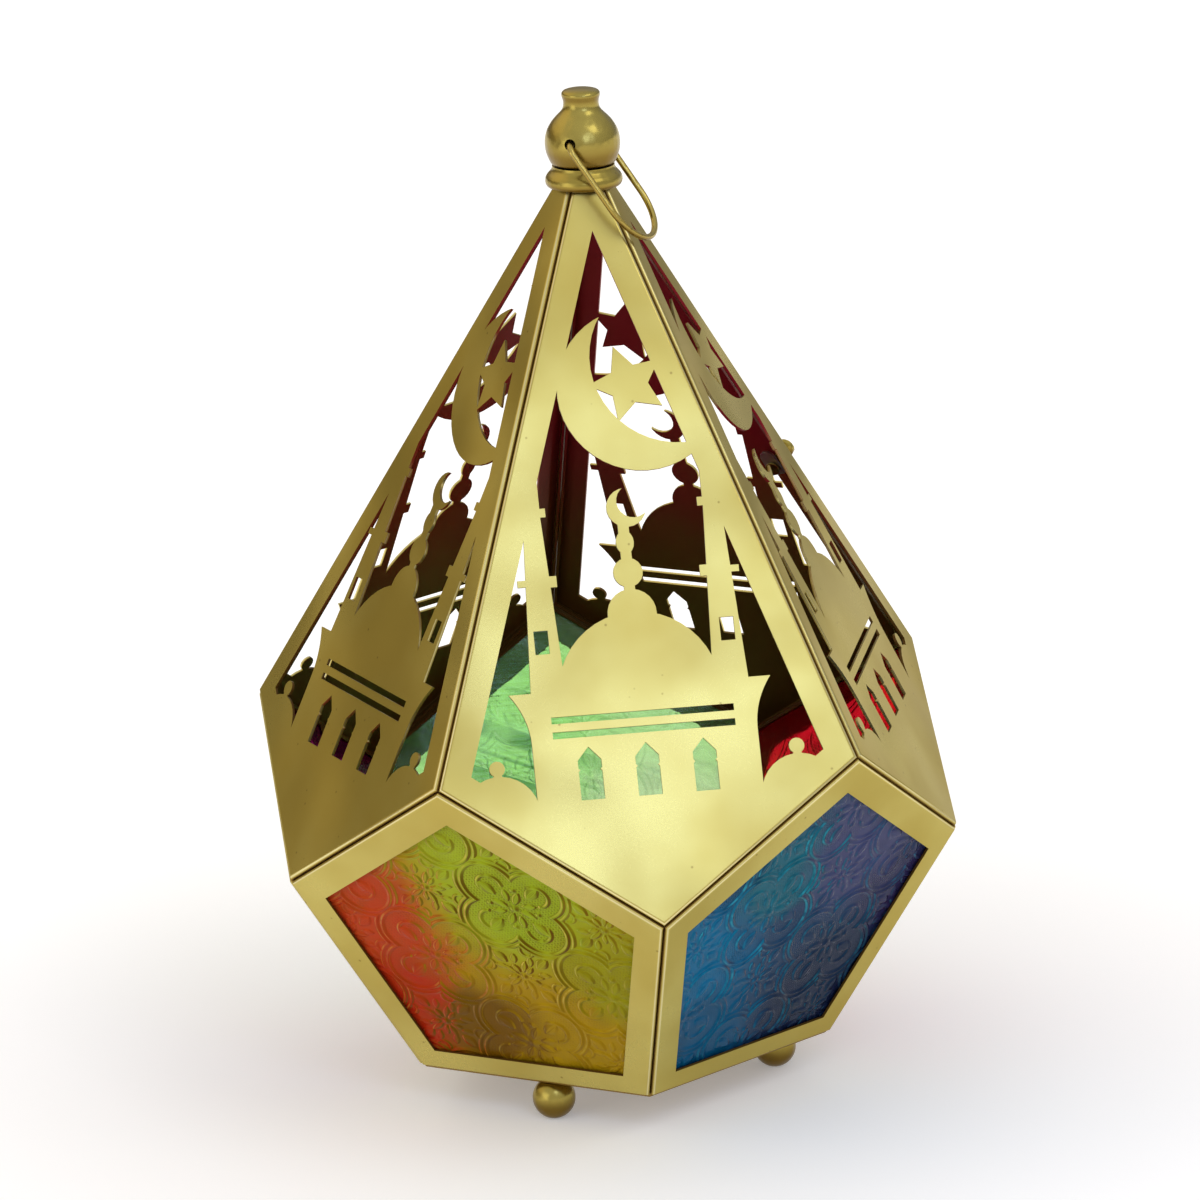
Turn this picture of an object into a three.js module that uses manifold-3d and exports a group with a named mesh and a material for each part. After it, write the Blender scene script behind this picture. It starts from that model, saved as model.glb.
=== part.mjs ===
// A five-sided metal lantern: coloured glass panes below, pierced panels above, a turned finial
// with a wire bail, three ball feet, a candle cup inside and one panel at the back hung as a door.
// Millimetres, +Z up. The origin is on the surface that it stands on, under the lantern's axis.
// The front is towards -Y. Azimuths are in degrees, 0 at the front and growing towards +X.

import * as THREE from 'three';
import { mergeVertices } from 'three/addons/utils/BufferGeometryUtils.js';
import Module from 'manifold-3d';

// Body: the floor, the five glass frames and the lower halves of the five panels are the faces of a
// regular twelve-sided solid, so every face meets its neighbours at the same angle.
const SIDES = 5;
const EDGE = 77; // edge of the floor and of each glass frame
const SHEET = 0.8; // thickness of the sheet metal
const INNER_BEND = 0.2; // inside radius of a folded edge
const JOINT_GAP = 0.3; // between the folded edges of two neighbours
const CLEARANCE = 0.3; // between pieces that rest on each other
const PANEL_FLANGE = 3.8; // folded edge of a panel, from its corner line
const FLOOR_FLANGE = 4.6;

// Pierced panels
const WINDOW_MARGIN = 9.2; // plain strip between a panel's edge and its window
const PANEL_TOP_DROP = 11.4; // the fixed panels end this far below the point where the faces meet
const DOOR_TOP_DROP = 18.7; // the door ends lower, clear of the collar as it swings

// Glass frames and panes
const FRAME_MARGIN = 9.6; // width of a frame round its pane
const OPENING_SHIFT = 1.2; // the opening sits this much below the frame's centre
const GLASS = 2.4; // thickness of a pane
const TAB_WIDTH = 9; // tabs bent over behind the glass
const TAB_REACH = 5;

// Feet, floor and candle cup
const FOOT_RADIUS = 6.4;
const FOOT_HEIGHT = 11.25; // from the ground to the foot's seat under the floor
const FOOT_FLAT = 2; // radius of the small flat that the ball stands on
const FOOT_CIRCLE = 47.8; // radius at which the feet stand
const FOOT_AZIMUTHS = [-32, 76, 220];
const SCREW_RADIUS = 1.5;
const SCREW_HEAD = 2.6;
const SCREW_HEAD_HEIGHT = 1.7;
const SCREW_DEPTH = 6; // how far a screw reaches into a foot
const NUT_ACROSS = 7; // across the flats
const NUT_HEIGHT = 2.4;
const CUP_RADIUS = 20.2; // inside, for a tea light in its tin
const CUP_HEIGHT = 9;
const CUP_RIM = 1.1; // radius of the rolled rim

// Finial, collar and the bolt that holds them down
const COLLAR_RADIUS = 11.4;
const COLLAR_DROP = 15.8; // its lower rim, below the point where the faces meet
const COLLAR_HEIGHT = 6.3;
const COLLAR_NECK = 9.5; // radius at its top
const COLLAR_EDGE = 0.4; // rounding of its lower rim
const COLLAR_SHOULDER = 3.9; // height of its rounded part
const BULB_RADIUS = 11.1;
const BULB_CENTRE = 6.2; // above the finial's seat
const NECK_RADIUS = 5.2;
const NECK_LENGTH = 1.2;
const KNOB_RADIUS = 5.7;
const KNOB_HEIGHT = 1.9;
const KNOB_EDGE = 0.5; // rounding of its rim
const FINIAL_HEIGHT = 22.4;
const BOLT_RADIUS = 2;
const BOLT_HEAD = 3.6;
const BOLT_HEAD_HEIGHT = 2.8;
const BOLT_REACH = 4.8; // into the finial
const WASHER_DROP = 19.5; // top of the cone washer, below the point where the faces meet
const WASHER_THICKNESS = 2.5;

// Bail: a wire loop that swings in a bore across the finial's bulb
const WIRE_RADIUS = 0.95;
const BAIL_AZIMUTH = -28; // direction of the bore
const BAIL_BORE = 1.7;
const BAIL_BORE_RISE = 7.7; // above the finial's seat
const BAIL_HALF_WIDTH = 13; // to the middle of the wire
const BAIL_LENGTH = 35.2; // from the bore to the far end of the loop
const BAIL_KNEE = 3; // bend where a leg leaves the bore
const BAIL_STUB = 5.5; // the wire ends this far from the lantern's axis
const BAIL_REST = 35; // degrees from hanging straight down, where it lies on the lantern's edge

// Door: its hinges lie along the ridge at the back and its latch near the opposite ridge
const DOOR_AZIMUTH = 144;
const HINGE_PLACES = [35, 140]; // along the ridge, from its lower end
const HINGE_LENGTH = 18;
const KNUCKLE_RADIUS = 1.8;
const PIN_RADIUS = 0.8;
const PIN_CLEARANCE = 0.15;
const PIN_HEAD = 1.4;
const LEAF_WIDTH = 9; // from the pin's axis
const LATCH_ALONG = 75; // along the free edge, from its lower end
const LATCH_INSET = 5.4;
const LATCH_SHAFT = 1.4;
const LATCH_KNOB = 3;
const LATCH_KNOB_HEIGHT = 6;
const TONGUE_WIDTH = 5;
const TONGUE_NOSE = 6;
const TONGUE_TAIL = 3;

// The pierced picture, drawn for a panel whose edge is DRAWN_EDGE and grown or shrunk with the panel.
// Its origin is the centre of the panel's lower, five-sided part, x to the right and y up the slope.
const DRAWN_EDGE = 77;
const MOON = { radius: 24.3, y: 93.6, overlap: 0.9, biteRadius: 25.3, biteShift: [11.5, 8.5] };
const STAR = { x: 5.8, y: 95.4, radius: 11.8, innerRadius: 5.85, turn: 106.5, points: 5 };
const WALL = { halfWidth: 33, foot: -24.3, eaves: 6.2, eavesReach: 38.3, flareFrom: -9 };
const DOME = { radius: 23.7, y: 4.3 };
const CUPOLA = { radius: 7.2, y: 27.5 };
const ORB = { radius: 4.35, y: 39.6 };
const BEAD = { halfWidth: 2.65, halfHeight: 3.5, y: 48.5 };
const SPIRE = { halfWidth: 1.6, top: 54.5 };
const SMALL_MOON = { x: 1.4, y: 58.8, radius: 5.8, biteRadius: 4.9, biteShift: [2.2, 1.8] };
const MINARET = { foot: [21.2, 32.2], waist: [23.9, 29.1], waistY: 57.3, top: 74 };
const GALLERY = { inner: [21, 25, 36.9, 40.2], outer: [28, 32.5, 37.5, 39.5], upper: [22.3, 25, 57.7, 60.3] };
const MINARET_WINDOW = { x: 27.2, y: 20.9, width: 4.2, height: 6.9 };
const SIDE_DOME = { x: 43.8, y: -28.7, radius: 11.46 };
const SIDE_BALL = { y: -15, radius: 2.3, neck: 1.25 };
const SLOT = { width: 53.4, height: 2, rows: [-2.2, -6.6] };
const ARCH = { pitch: 16.8, foot: -26, halfWidth: 3.45, nib: 0.5, nibY: -17.2, shoulder: -14.4, point: -10.5 };
const SMOOTHNESS = 0.06; // how far a drawn arc may stray from its true curve
const ARC_STEPS = 6; // lines in each rounded part of a turned profile

// Colours and finishes
const GOLD = { color: 0xd9c36e, metalness: 1, roughness: 0.38 };
const STEEL = { color: 0xb4b6ba, metalness: 1, roughness: 0.35 };
const GLASS_FINISH = { metalness: 0, roughness: 0.25 };

// Angles and places that follow from the sizes
const TAU = 2 * Math.PI;
const radians = THREE.MathUtils.degToRad;
const DIHEDRAL = Math.acos(-1 / Math.sqrt(5)); // inside angle between two neighbouring faces
const FOLD = DIHEDRAL / 2; // between a sheet and its folded edge
const FACE_TILT = DIHEDRAL - Math.PI / 2; // how far a side face leans from upright
const APOTHEM = EDGE / (2 * Math.tan(Math.PI / SIDES));
const CORNER_RADIUS = EDGE / (2 * Math.sin(Math.PI / SIDES));
const FACE_DISTANCE = APOTHEM * Math.tan(FOLD); // from the body's centre to each face
const FLOOR_Z = FOOT_HEIGHT + CLEARANCE;
const CENTRE_Z = FLOOR_Z + FACE_DISTANCE;
const POINT_Y = FACE_DISTANCE / Math.tan(FACE_TILT); // up a panel, from its centre to its point
const POINT_Z = CENTRE_Z + FACE_DISTANCE / Math.sin(FACE_TILT);
const RIDGE_SLOPE = 1 / Math.tan(FOLD); // how much wider the ridges stand for each unit below the point
const STEP = TAU / SIDES;

const wasm = await Module();
wasm.setup();

// A closed geometry as a solid that can be joined and cut.
function toSolid(geometry) {
  const bare = geometry.clone();
  bare.deleteAttribute('normal');
  bare.deleteAttribute('uv');
  const merged = mergeVertices(bare);
  const { array } = merged.index;
  const triangles = [];
  for (let i = 0; i < array.length; i += 3) {
    const [a, b, c] = array.slice(i, i + 3);
    if (a !== b && b !== c && c !== a) triangles.push(a, b, c);
  }
  const mesh = new wasm.Mesh({
    numProp: 3,
    vertProperties: new Float32Array(merged.attributes.position.array),
    triVerts: new Uint32Array(triangles),
  });
  return new wasm.Manifold(mesh);
}

function toGeometry(solid) {
  const mesh = solid.getMesh();
  const geometry = new THREE.BufferGeometry();
  geometry.setAttribute('position', new THREE.BufferAttribute(new Float32Array(mesh.vertProperties), 3));
  geometry.setIndex(new THREE.BufferAttribute(new Uint32Array(mesh.triVerts), 1));
  return geometry;
}

const join = (solids) => solids.reduce((whole, piece) => whole.add(piece));
const roundSteps = (radius) => Math.max(12, Math.ceil(Math.PI / Math.acos(1 - SMOOTHNESS / radius)));

// Simple solids. A block is given by its lowest and highest corner.
function block(low, high) {
  const size = high.map((value, i) => value - low[i]);
  const box = new THREE.BoxGeometry(...size);
  box.translate(...low.map((value, i) => value + size[i] / 2));
  return toSolid(box);
}

function rod(radius, bottom, top, steps = roundSteps(radius)) {
  const cylinder = new THREE.CylinderGeometry(radius, radius, top - bottom, steps);
  cylinder.rotateX(Math.PI / 2);
  cylinder.translate(0, 0, (top + bottom) / 2);
  return toSolid(cylinder);
}

// A turned piece: [radius, height] points, from the bottom up the outside and down the inside.
function turned(profile, steps) {
  const points = profile.map(([radius, height]) => new THREE.Vector2(radius, height));
  const lathe = new THREE.LatheGeometry(points, steps);
  lathe.rotateX(Math.PI / 2);
  return toSolid(lathe);
}

// Points of a rounded part of a turned profile, between two angles seen from its middle.
function arc([middle, height], [across, up], from, to, steps = ARC_STEPS) {
  return Array.from({ length: steps + 1 }, (_, i) => {
    const angle = from + ((to - from) * i) / steps;
    return [middle + across * Math.cos(angle), height + up * Math.sin(angle)];
  });
}

function slab(shape, bottom, top) {
  const options = { depth: top - bottom, bevelEnabled: false, curveSegments: 8 };
  const extruded = new THREE.ExtrudeGeometry(shape, options);
  extruded.translate(0, 0, bottom);
  return toSolid(extruded);
}

const polygon = (points) => new THREE.Shape(points.map(([x, y]) => new THREE.Vector2(x, y)));

// Corners of a regular face, with one corner at the given angle.
function regularCorners(firstAngle) {
  return Array.from({ length: SIDES }, (_, i) => {
    const angle = firstAngle + i * STEP;
    return new THREE.Vector2(CORNER_RADIUS * Math.cos(angle), CORNER_RADIUS * Math.sin(angle));
  });
}

// A panel's corners: three corners of the face that points down, and the point at the top.
function panelCorners() {
  const [bottom, right, , , left] = regularCorners(-Math.PI / 2);
  return [bottom, right, new THREE.Vector2(0, POINT_Y), left];
}

// The same outline with each edge moved inwards.
function insetCorners(corners, inset) {
  return corners.map((corner, i) => {
    const before = corners[(i + corners.length - 1) % corners.length];
    const after = corners[(i + 1) % corners.length];
    const arriving = corner.clone().sub(before).normalize();
    const leaving = after.clone().sub(corner).normalize();
    const inwards = leaving.clone().sub(arriving).normalize();
    const halfAngleSine = Math.sqrt((1 + arriving.dot(leaving)) / 2);
    return corner.clone().addScaledVector(inwards, inset / halfAngleSine);
  });
}

// The section of a folded edge, as [inset, depth] points from the outer face, round the bend to the
// flange's tip and back to the inner face. The flange lies in the plane that halves the angle
// between two faces, so the flanges of neighbours lie side by side.
function foldSection(flange) {
  const start = JOINT_GAP / 2 / Math.sin(FOLD);
  const outerBend = INNER_BEND + SHEET;
  const centre = [start + outerBend / Math.tan(FOLD / 2), outerBend];
  const bend = (radius, steps) => Array.from({ length: steps + 1 }, (_, k) => {
    const turn = (k / steps) * (Math.PI - FOLD);
    return [centre[0] - radius * Math.sin(turn), centre[1] - radius * Math.cos(turn)];
  });
  const tip = [start + flange * Math.cos(FOLD), flange * Math.sin(FOLD)];
  const innerTip = [tip[0] + SHEET * Math.sin(FOLD), tip[1] - SHEET * Math.cos(FOLD)];
  return [...bend(outerBend, 5), tip, innerTip, ...bend(INNER_BEND, 2).reverse()];
}

// A flat sheet with every edge folded inwards: one ring of corners for each point of the section.
function foldedSheet(corners, flange) {
  const rings = foldSection(flange).map(([inset, depth]) => (
    insetCorners(corners, inset).map(({ x, y }) => [x, y, -depth])
  ));
  const count = corners.length;
  const last = (rings.length - 1) * count;
  const index = [];
  for (let i = 1; i + 1 < count; i += 1) {
    index.push(0, i, i + 1);
    index.push(last, last + i + 1, last + i);
  }
  for (let r = 0; r < last; r += count) {
    for (let i = 0; i < count; i += 1) {
      const next = (i + 1) % count;
      index.push(r + i, r + count + i, r + count + next);
      index.push(r + i, r + count + next, r + next);
    }
  }
  const geometry = new THREE.BufferGeometry();
  geometry.setAttribute('position', new THREE.Float32BufferAttribute(rings.flat(2), 3));
  geometry.setIndex(index);
  return toSolid(geometry);
}

// How far the inner side of a folded edge has come in from the corner line at a depth.
const flangeInset = (depth) => (
  (JOINT_GAP / 2 + SHEET) / Math.sin(FOLD) + depth / Math.tan(FOLD)
);

// The pierced picture. Each figure is a tall slab, so that it cuts cleanly through the window.
const FIGURE = [-20, 20];
const DRAWN = EDGE / DRAWN_EDGE;

const disc = (x, y, radius) => rod(radius, ...FIGURE).translate([x, y, 0]);
const patch = (left, right, bottom, top) => block([left, bottom, FIGURE[0]], [right, top, FIGURE[1]]);
const mirrored = (solid) => solid.add(solid.mirror([1, 0, 0]));

function crescent(x, y, radius, biteRadius, [shiftX, shiftY]) {
  return disc(x, y, radius).subtract(disc(x + shiftX, y + shiftY, biteRadius));
}

// The big moon leans into the window's left edge, so its centre follows from that edge.
function moon() {
  const halfPoint = Math.PI / 2 - Math.PI * 2 / SIDES; // half the angle at the panel's point
  const reach = MOON.radius - MOON.overlap + WINDOW_MARGIN / DRAWN;
  const fall = POINT_Y / DRAWN - MOON.y;
  const x = (reach - fall * Math.sin(halfPoint)) / Math.cos(halfPoint);
  return crescent(x, MOON.y, MOON.radius, MOON.biteRadius, MOON.biteShift);
}

function star() {
  const tips = Array.from({ length: 2 * STAR.points }, (_, i) => {
    const angle = radians(STAR.turn) + (i * Math.PI) / STAR.points;
    const radius = i % 2 === 0 ? STAR.radius : STAR.innerRadius;
    return [STAR.x + radius * Math.cos(angle), STAR.y + radius * Math.sin(angle)];
  });
  return slab(polygon(tips), ...FIGURE);
}

function minaret() {
  const outline = polygon([
    [MINARET.foot[0], 0],
    [MINARET.foot[1], 0],
    [MINARET.waist[1], MINARET.waistY],
    [MINARET.waist[1], MINARET.top],
    [MINARET.waist[0], MINARET.top],
    [MINARET.waist[0], MINARET.waistY],
  ]);
  return join([slab(outline, ...FIGURE), patch(...GALLERY.inner), patch(...GALLERY.outer), patch(...GALLERY.upper)]);
}

// The walls flare to pointed eaves, and under them the ground fills the panel's lower corner.
function walls() {
  const half = new THREE.Shape();
  half.moveTo(-1, WALL.eaves);
  half.lineTo(-1, WALL.foot - 2 * CORNER_RADIUS);
  half.lineTo(WALL.halfWidth, WALL.foot - 2 * CORNER_RADIUS);
  half.lineTo(WALL.halfWidth, WALL.flareFrom);
  half.quadraticCurveTo(WALL.halfWidth, WALL.flareFrom / 10, WALL.eavesReach, WALL.eaves);
  return mirrored(slab(half, ...FIGURE));
}

function spire() {
  const bead = new THREE.Shape();
  bead.absellipse(0, BEAD.y, BEAD.halfWidth, BEAD.halfHeight, 0, TAU, false, 0);
  return join([
    patch(-SPIRE.halfWidth, SPIRE.halfWidth, CUPOLA.y, SPIRE.top),
    disc(0, ORB.y, ORB.radius),
    slab(bead, ...FIGURE),
    crescent(SMALL_MOON.x, SMALL_MOON.y, SMALL_MOON.radius, SMALL_MOON.biteRadius, SMALL_MOON.biteShift),
  ]);
}

function sideDome() {
  return join([
    disc(SIDE_DOME.x, SIDE_DOME.y, SIDE_DOME.radius),
    disc(SIDE_DOME.x, SIDE_BALL.y, SIDE_BALL.radius),
    patch(SIDE_DOME.x - SIDE_BALL.neck, SIDE_DOME.x + SIDE_BALL.neck, SIDE_DOME.y, SIDE_BALL.y),
  ]);
}

function archWindow(x) {
  const outline = [];
  for (const side of [1, -1]) {
    const points = [
      [ARCH.halfWidth, ARCH.foot],
      [ARCH.halfWidth, ARCH.nibY - ARCH.nib],
      [ARCH.halfWidth - ARCH.nib, ARCH.nibY],
      [ARCH.halfWidth, ARCH.nibY + ARCH.nib],
      [ARCH.halfWidth, ARCH.shoulder],
    ].map(([across, y]) => [x + side * across, y]);
    outline.push(...(side === 1 ? [...points, [x, ARCH.point]] : points.reverse()));
  }
  return slab(polygon(outline), ...FIGURE);
}

function pictureCutter() {
  const figures = join([
    moon(),
    star(),
    walls(),
    disc(0, DOME.y, DOME.radius),
    disc(0, CUPOLA.y, CUPOLA.radius),
    spire(),
    mirrored(minaret()),
    mirrored(sideDome()),
  ]);
  const { x, y, width, height } = MINARET_WINDOW;
  const piercings = join([
    ...SLOT.rows.map((row) => patch(-SLOT.width / 2, SLOT.width / 2, row - SLOT.height / 2, row + SLOT.height / 2)),
    ...[-1, 0, 1].map((place) => archWindow(place * ARCH.pitch)),
    mirrored(patch(x - width / 2, x + width / 2, y - height / 2, y + height / 2)),
  ]);
  const scale = [DRAWN, DRAWN, 1];
  const outline = insetCorners(panelCorners(), WINDOW_MARGIN);
  const opening = slab(new THREE.Shape(outline), FIGURE[0] / 2, FIGURE[1] / 2);
  return opening.subtract(figures.scale(scale)).add(piercings.scale(scale).intersect(opening));
}

// A pierced panel: folded edges, the picture cut through it, and its point cut off level.
const PICTURE = pictureCutter();

function piercedPanel(topDrop) {
  const top = POINT_Y - topDrop / Math.cos(FACE_TILT);
  const cut = block([-EDGE, top, -EDGE], [EDGE, POINT_Y + EDGE, EDGE]);
  return foldedSheet(panelCorners(), PANEL_FLANGE).subtract(PICTURE).subtract(cut);
}

// Glass frames, with a tab on each side that is bent over behind the glass.
const GLASS_FRONT = SHEET + CLEARANCE;
const GLASS_BACK = GLASS_FRONT + GLASS;
const TAB_DEPTH = GLASS_BACK + CLEARANCE;
const FRAME_FLANGE = (TAB_DEPTH + SHEET) / Math.sin(FOLD);

function glassFrame() {
  const corners = regularCorners(Math.PI / 2);
  const opening = slab(new THREE.Shape(insetCorners(corners, FRAME_MARGIN)), -2 * SHEET, SHEET);
  const root = APOTHEM - (TAB_DEPTH + SHEET) / Math.tan(FOLD) - JOINT_GAP;
  const tab = block(
    [root - TAB_REACH, -TAB_WIDTH / 2, -TAB_DEPTH - SHEET],
    [root, TAB_WIDTH / 2, -TAB_DEPTH],
  );
  const tabs = corners.map((_, i) => tab.rotate([0, 0, THREE.MathUtils.radToDeg(-Math.PI / 2 + i * STEP)]));
  return join([foldedSheet(corners, FRAME_FLANGE).subtract(opening.translate([0, -OPENING_SHIFT, 0])), ...tabs]);
}

function glassPane() {
  const inset = flangeInset(GLASS_BACK) + CLEARANCE;
  const outline = insetCorners(regularCorners(Math.PI / 2), inset);
  return slab(new THREE.Shape(outline), -GLASS_BACK, -GLASS_FRONT);
}

// Floor: a folded sheet with its edges turned up, bored for the screws.
const SCREW_HOLE = SCREW_RADIUS + CLEARANCE;
const FLOOR_TOP = FLOOR_Z + SHEET;
const footPlace = (azimuth, z = 0) => new THREE.Vector3(
  FOOT_CIRCLE * Math.sin(radians(azimuth)),
  -FOOT_CIRCLE * Math.cos(radians(azimuth)),
  z,
);

function floorPlate() {
  const hole = rod(SCREW_HOLE, FLOOR_Z - SHEET, FLOOR_TOP + SHEET);
  const sheet = foldedSheet(regularCorners(Math.PI / 2), FLOOR_FLANGE);
  const level = sheet.rotate([180, 0, 0]).translate([0, 0, FLOOR_Z]);
  const holes = FOOT_AZIMUTHS.map((azimuth) => hole.translate(footPlace(azimuth).toArray()));
  return level.subtract(join([hole, ...holes]));
}

function ballFoot() {
  const centre = Math.sqrt(FOOT_RADIUS ** 2 - FOOT_FLAT ** 2);
  const from = Math.asin(-centre / FOOT_RADIUS);
  const to = Math.asin((FOOT_HEIGHT - centre) / FOOT_RADIUS);
  const ball = arc([0, centre], [FOOT_RADIUS, FOOT_RADIUS], from, to, 8);
  const bore = FOOT_HEIGHT - SCREW_DEPTH - CLEARANCE;
  return turned([[0, 0], ...ball, [SCREW_HOLE, FOOT_HEIGHT], [SCREW_HOLE, bore], [0, bore]], 16);
}

// A pan-head screw, head upwards, from its tip to the seat of its head.
function panScrew(radius, head, headHeight, tip, seat) {
  return turned([
    [0, tip],
    [radius, tip],
    [radius, seat],
    [head, seat],
    [head, seat + headHeight * 0.5],
    [head * 0.75, seat + headHeight * 0.9],
    [0, seat + headHeight],
  ], 12);
}

const CUP_SEAT = FLOOR_TOP + CLEARANCE;
const CUP_NUT_TOP = FLOOR_Z - CLEARANCE;

// A spun cup with a dimple, so that the head of its screw stays below the tea light.
function candleCup() {
  const outer = CUP_RADIUS + SHEET;
  const bottom = CUP_SEAT + CLEARANCE + SCREW_HEAD_HEIGHT + CLEARANCE;
  const rimZ = bottom + CUP_HEIGHT - CUP_RIM;
  const rim = arc([outer, rimZ], [CUP_RIM, CUP_RIM], -Math.PI / 2, Math.PI / 2);
  const dimple = SCREW_HEAD + 2 * CLEARANCE;
  return turned([
    [SCREW_HOLE, CUP_SEAT],
    [dimple + SHEET, CUP_SEAT],
    [dimple + 2 * SHEET, bottom],
    [outer - SHEET, bottom],
    [outer, bottom + SHEET],
    ...rim,
    [CUP_RADIUS, bottom + CUP_HEIGHT],
    [CUP_RADIUS, bottom + 2 * SHEET],
    [CUP_RADIUS - SHEET, bottom + SHEET],
    [dimple + SHEET, bottom + SHEET],
    [dimple, CUP_SEAT + SHEET],
    [SCREW_HOLE, CUP_SEAT + SHEET],
    [SCREW_HOLE, CUP_SEAT],
  ], 30);
}

function hexNut() {
  const radius = NUT_ACROSS / Math.sqrt(3);
  return rod(radius, CUP_NUT_TOP - NUT_HEIGHT, CUP_NUT_TOP, 6)
    .subtract(rod(SCREW_HOLE, CUP_NUT_TOP - 2 * NUT_HEIGHT, CUP_NUT_TOP + NUT_HEIGHT));
}

// Crown: a cone washer inside the point draws the panels' folded edges together under the collar.
const COLLAR_Z = POINT_Z - COLLAR_DROP;
const FINIAL_Z = COLLAR_Z + COLLAR_HEIGHT + CLEARANCE;
const WASHER_Z = POINT_Z - WASHER_DROP - WASHER_THICKNESS;
const ridgeRadius = (z) => (POINT_Z - z) * RIDGE_SLOPE;
const BOLT_HOLE = BOLT_RADIUS + CLEARANCE;

function coneWasher() {
  const insideFlanges = (z) => ridgeRadius(z) - PANEL_FLANGE / Math.sin(FOLD) - 1.5 * CLEARANCE;
  const top = WASHER_Z + WASHER_THICKNESS;
  return turned([
    [BOLT_HOLE, WASHER_Z],
    [insideFlanges(WASHER_Z), WASHER_Z],
    [insideFlanges(top), top],
    [BOLT_HOLE, top],
    [BOLT_HOLE, WASHER_Z],
  ], 24);
}

function crownBolt() {
  const tip = FINIAL_Z + BOLT_REACH;
  const seat = WASHER_Z - CLEARANCE;
  return rod(BOLT_RADIUS, seat - BOLT_HEAD_HEIGHT / 2, tip, 14)
    .add(rod(BOLT_HEAD, seat - BOLT_HEAD_HEIGHT, seat, 6));
}

function collar() {
  const top = COLLAR_Z + COLLAR_HEIGHT;
  const ceiling = POINT_Z - PANEL_TOP_DROP + CLEARANCE;
  const recess = (z) => ridgeRadius(z) + CLEARANCE;
  const shoulder = arc(
    [COLLAR_NECK, top - COLLAR_EDGE - COLLAR_SHOULDER],
    [COLLAR_RADIUS - COLLAR_NECK, COLLAR_SHOULDER],
    0,
    Math.PI / 2,
  );
  return turned([
    [recess(COLLAR_Z), COLLAR_Z],
    [COLLAR_RADIUS - COLLAR_EDGE, COLLAR_Z],
    [COLLAR_RADIUS, COLLAR_Z + COLLAR_EDGE],
    ...shoulder,
    [COLLAR_NECK, top],
    [BOLT_HOLE, top],
    [BOLT_HOLE, ceiling],
    [recess(ceiling), ceiling],
    [recess(COLLAR_Z), COLLAR_Z],
  ], 30);
}

// Finial: bulb, neck and knob turned in one piece, bored across for the bail and up for the bolt.
function finial() {
  const bulbTop = Math.acos(KNOB_RADIUS / BULB_RADIUS);
  const bulbFoot = Math.asin(-BULB_CENTRE / BULB_RADIUS);
  const bulb = arc([0, FINIAL_Z + BULB_CENTRE], [BULB_RADIUS, BULB_RADIUS], bulbFoot, bulbTop, 2 * ARC_STEPS);
  const neckZ = bulb[bulb.length - 1][1] + KNOB_EDGE;
  const topZ = FINIAL_Z + FINIAL_HEIGHT;
  const flare = KNOB_RADIUS - NECK_RADIUS;
  const boreTop = FINIAL_Z + BOLT_REACH + CLEARANCE;
  const body = turned([
    [BOLT_HOLE, FINIAL_Z],
    ...bulb,
    [NECK_RADIUS, neckZ + flare],
    [NECK_RADIUS, neckZ + flare + NECK_LENGTH],
    [KNOB_RADIUS, topZ - KNOB_HEIGHT + KNOB_EDGE],
    [KNOB_RADIUS, topZ - 2 * KNOB_EDGE],
    [KNOB_RADIUS - KNOB_EDGE, topZ - KNOB_EDGE],
    [KNOB_RADIUS / 2, topZ - KNOB_EDGE / 4],
    [0, topZ],
    [0, boreTop],
    [BOLT_HOLE, boreTop],
    [BOLT_HOLE, FINIAL_Z],
  ], 30);
  const bore = rod(BAIL_BORE, -2 * BULB_RADIUS, 2 * BULB_RADIUS, 14)
    .rotate([90, 0, 0])
    .rotate([0, 0, BAIL_AZIMUTH])
    .translate([0, 0, FINIAL_Z + BAIL_BORE_RISE]);
  return body.subtract(bore);
}

// Middle line of the bail, in its own plane: x across, y away from the bore.
class BailLine extends THREE.Curve {
  getPoint(t, target = new THREE.Vector3()) {
    const endRadius = BAIL_HALF_WIDTH;
    const stub = BAIL_HALF_WIDTH - BAIL_KNEE - BAIL_STUB;
    const knee = (BAIL_KNEE * Math.PI) / 2;
    const leg = BAIL_LENGTH - endRadius - BAIL_KNEE;
    const half = stub + knee + leg + (endRadius * Math.PI) / 2;
    const side = t < 0.5 ? -1 : 1;
    let rest = half * (1 - Math.abs(1 - 2 * t));
    if (rest < stub) return target.set(side * (BAIL_STUB + rest), 0, 0);
    rest -= stub;
    if (rest < knee) {
      const angle = rest / BAIL_KNEE;
      const across = BAIL_HALF_WIDTH - BAIL_KNEE + BAIL_KNEE * Math.sin(angle);
      return target.set(side * across, BAIL_KNEE * (1 - Math.cos(angle)), 0);
    }
    rest -= knee;
    if (rest < leg) return target.set(side * BAIL_HALF_WIDTH, BAIL_KNEE + rest, 0);
    const angle = (rest - leg) / endRadius;
    return target.set(side * endRadius * Math.cos(angle), BAIL_LENGTH - endRadius + endRadius * Math.sin(angle), 0);
  }
}

function bail() {
  const section = new THREE.Shape();
  section.absarc(0, 0, WIRE_RADIUS, 0, TAU, false);
  const options = { steps: 72, bevelEnabled: false, curveSegments: 4, extrudePath: new BailLine() };
  return toSolid(new THREE.ExtrudeGeometry(section, options));
}

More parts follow.
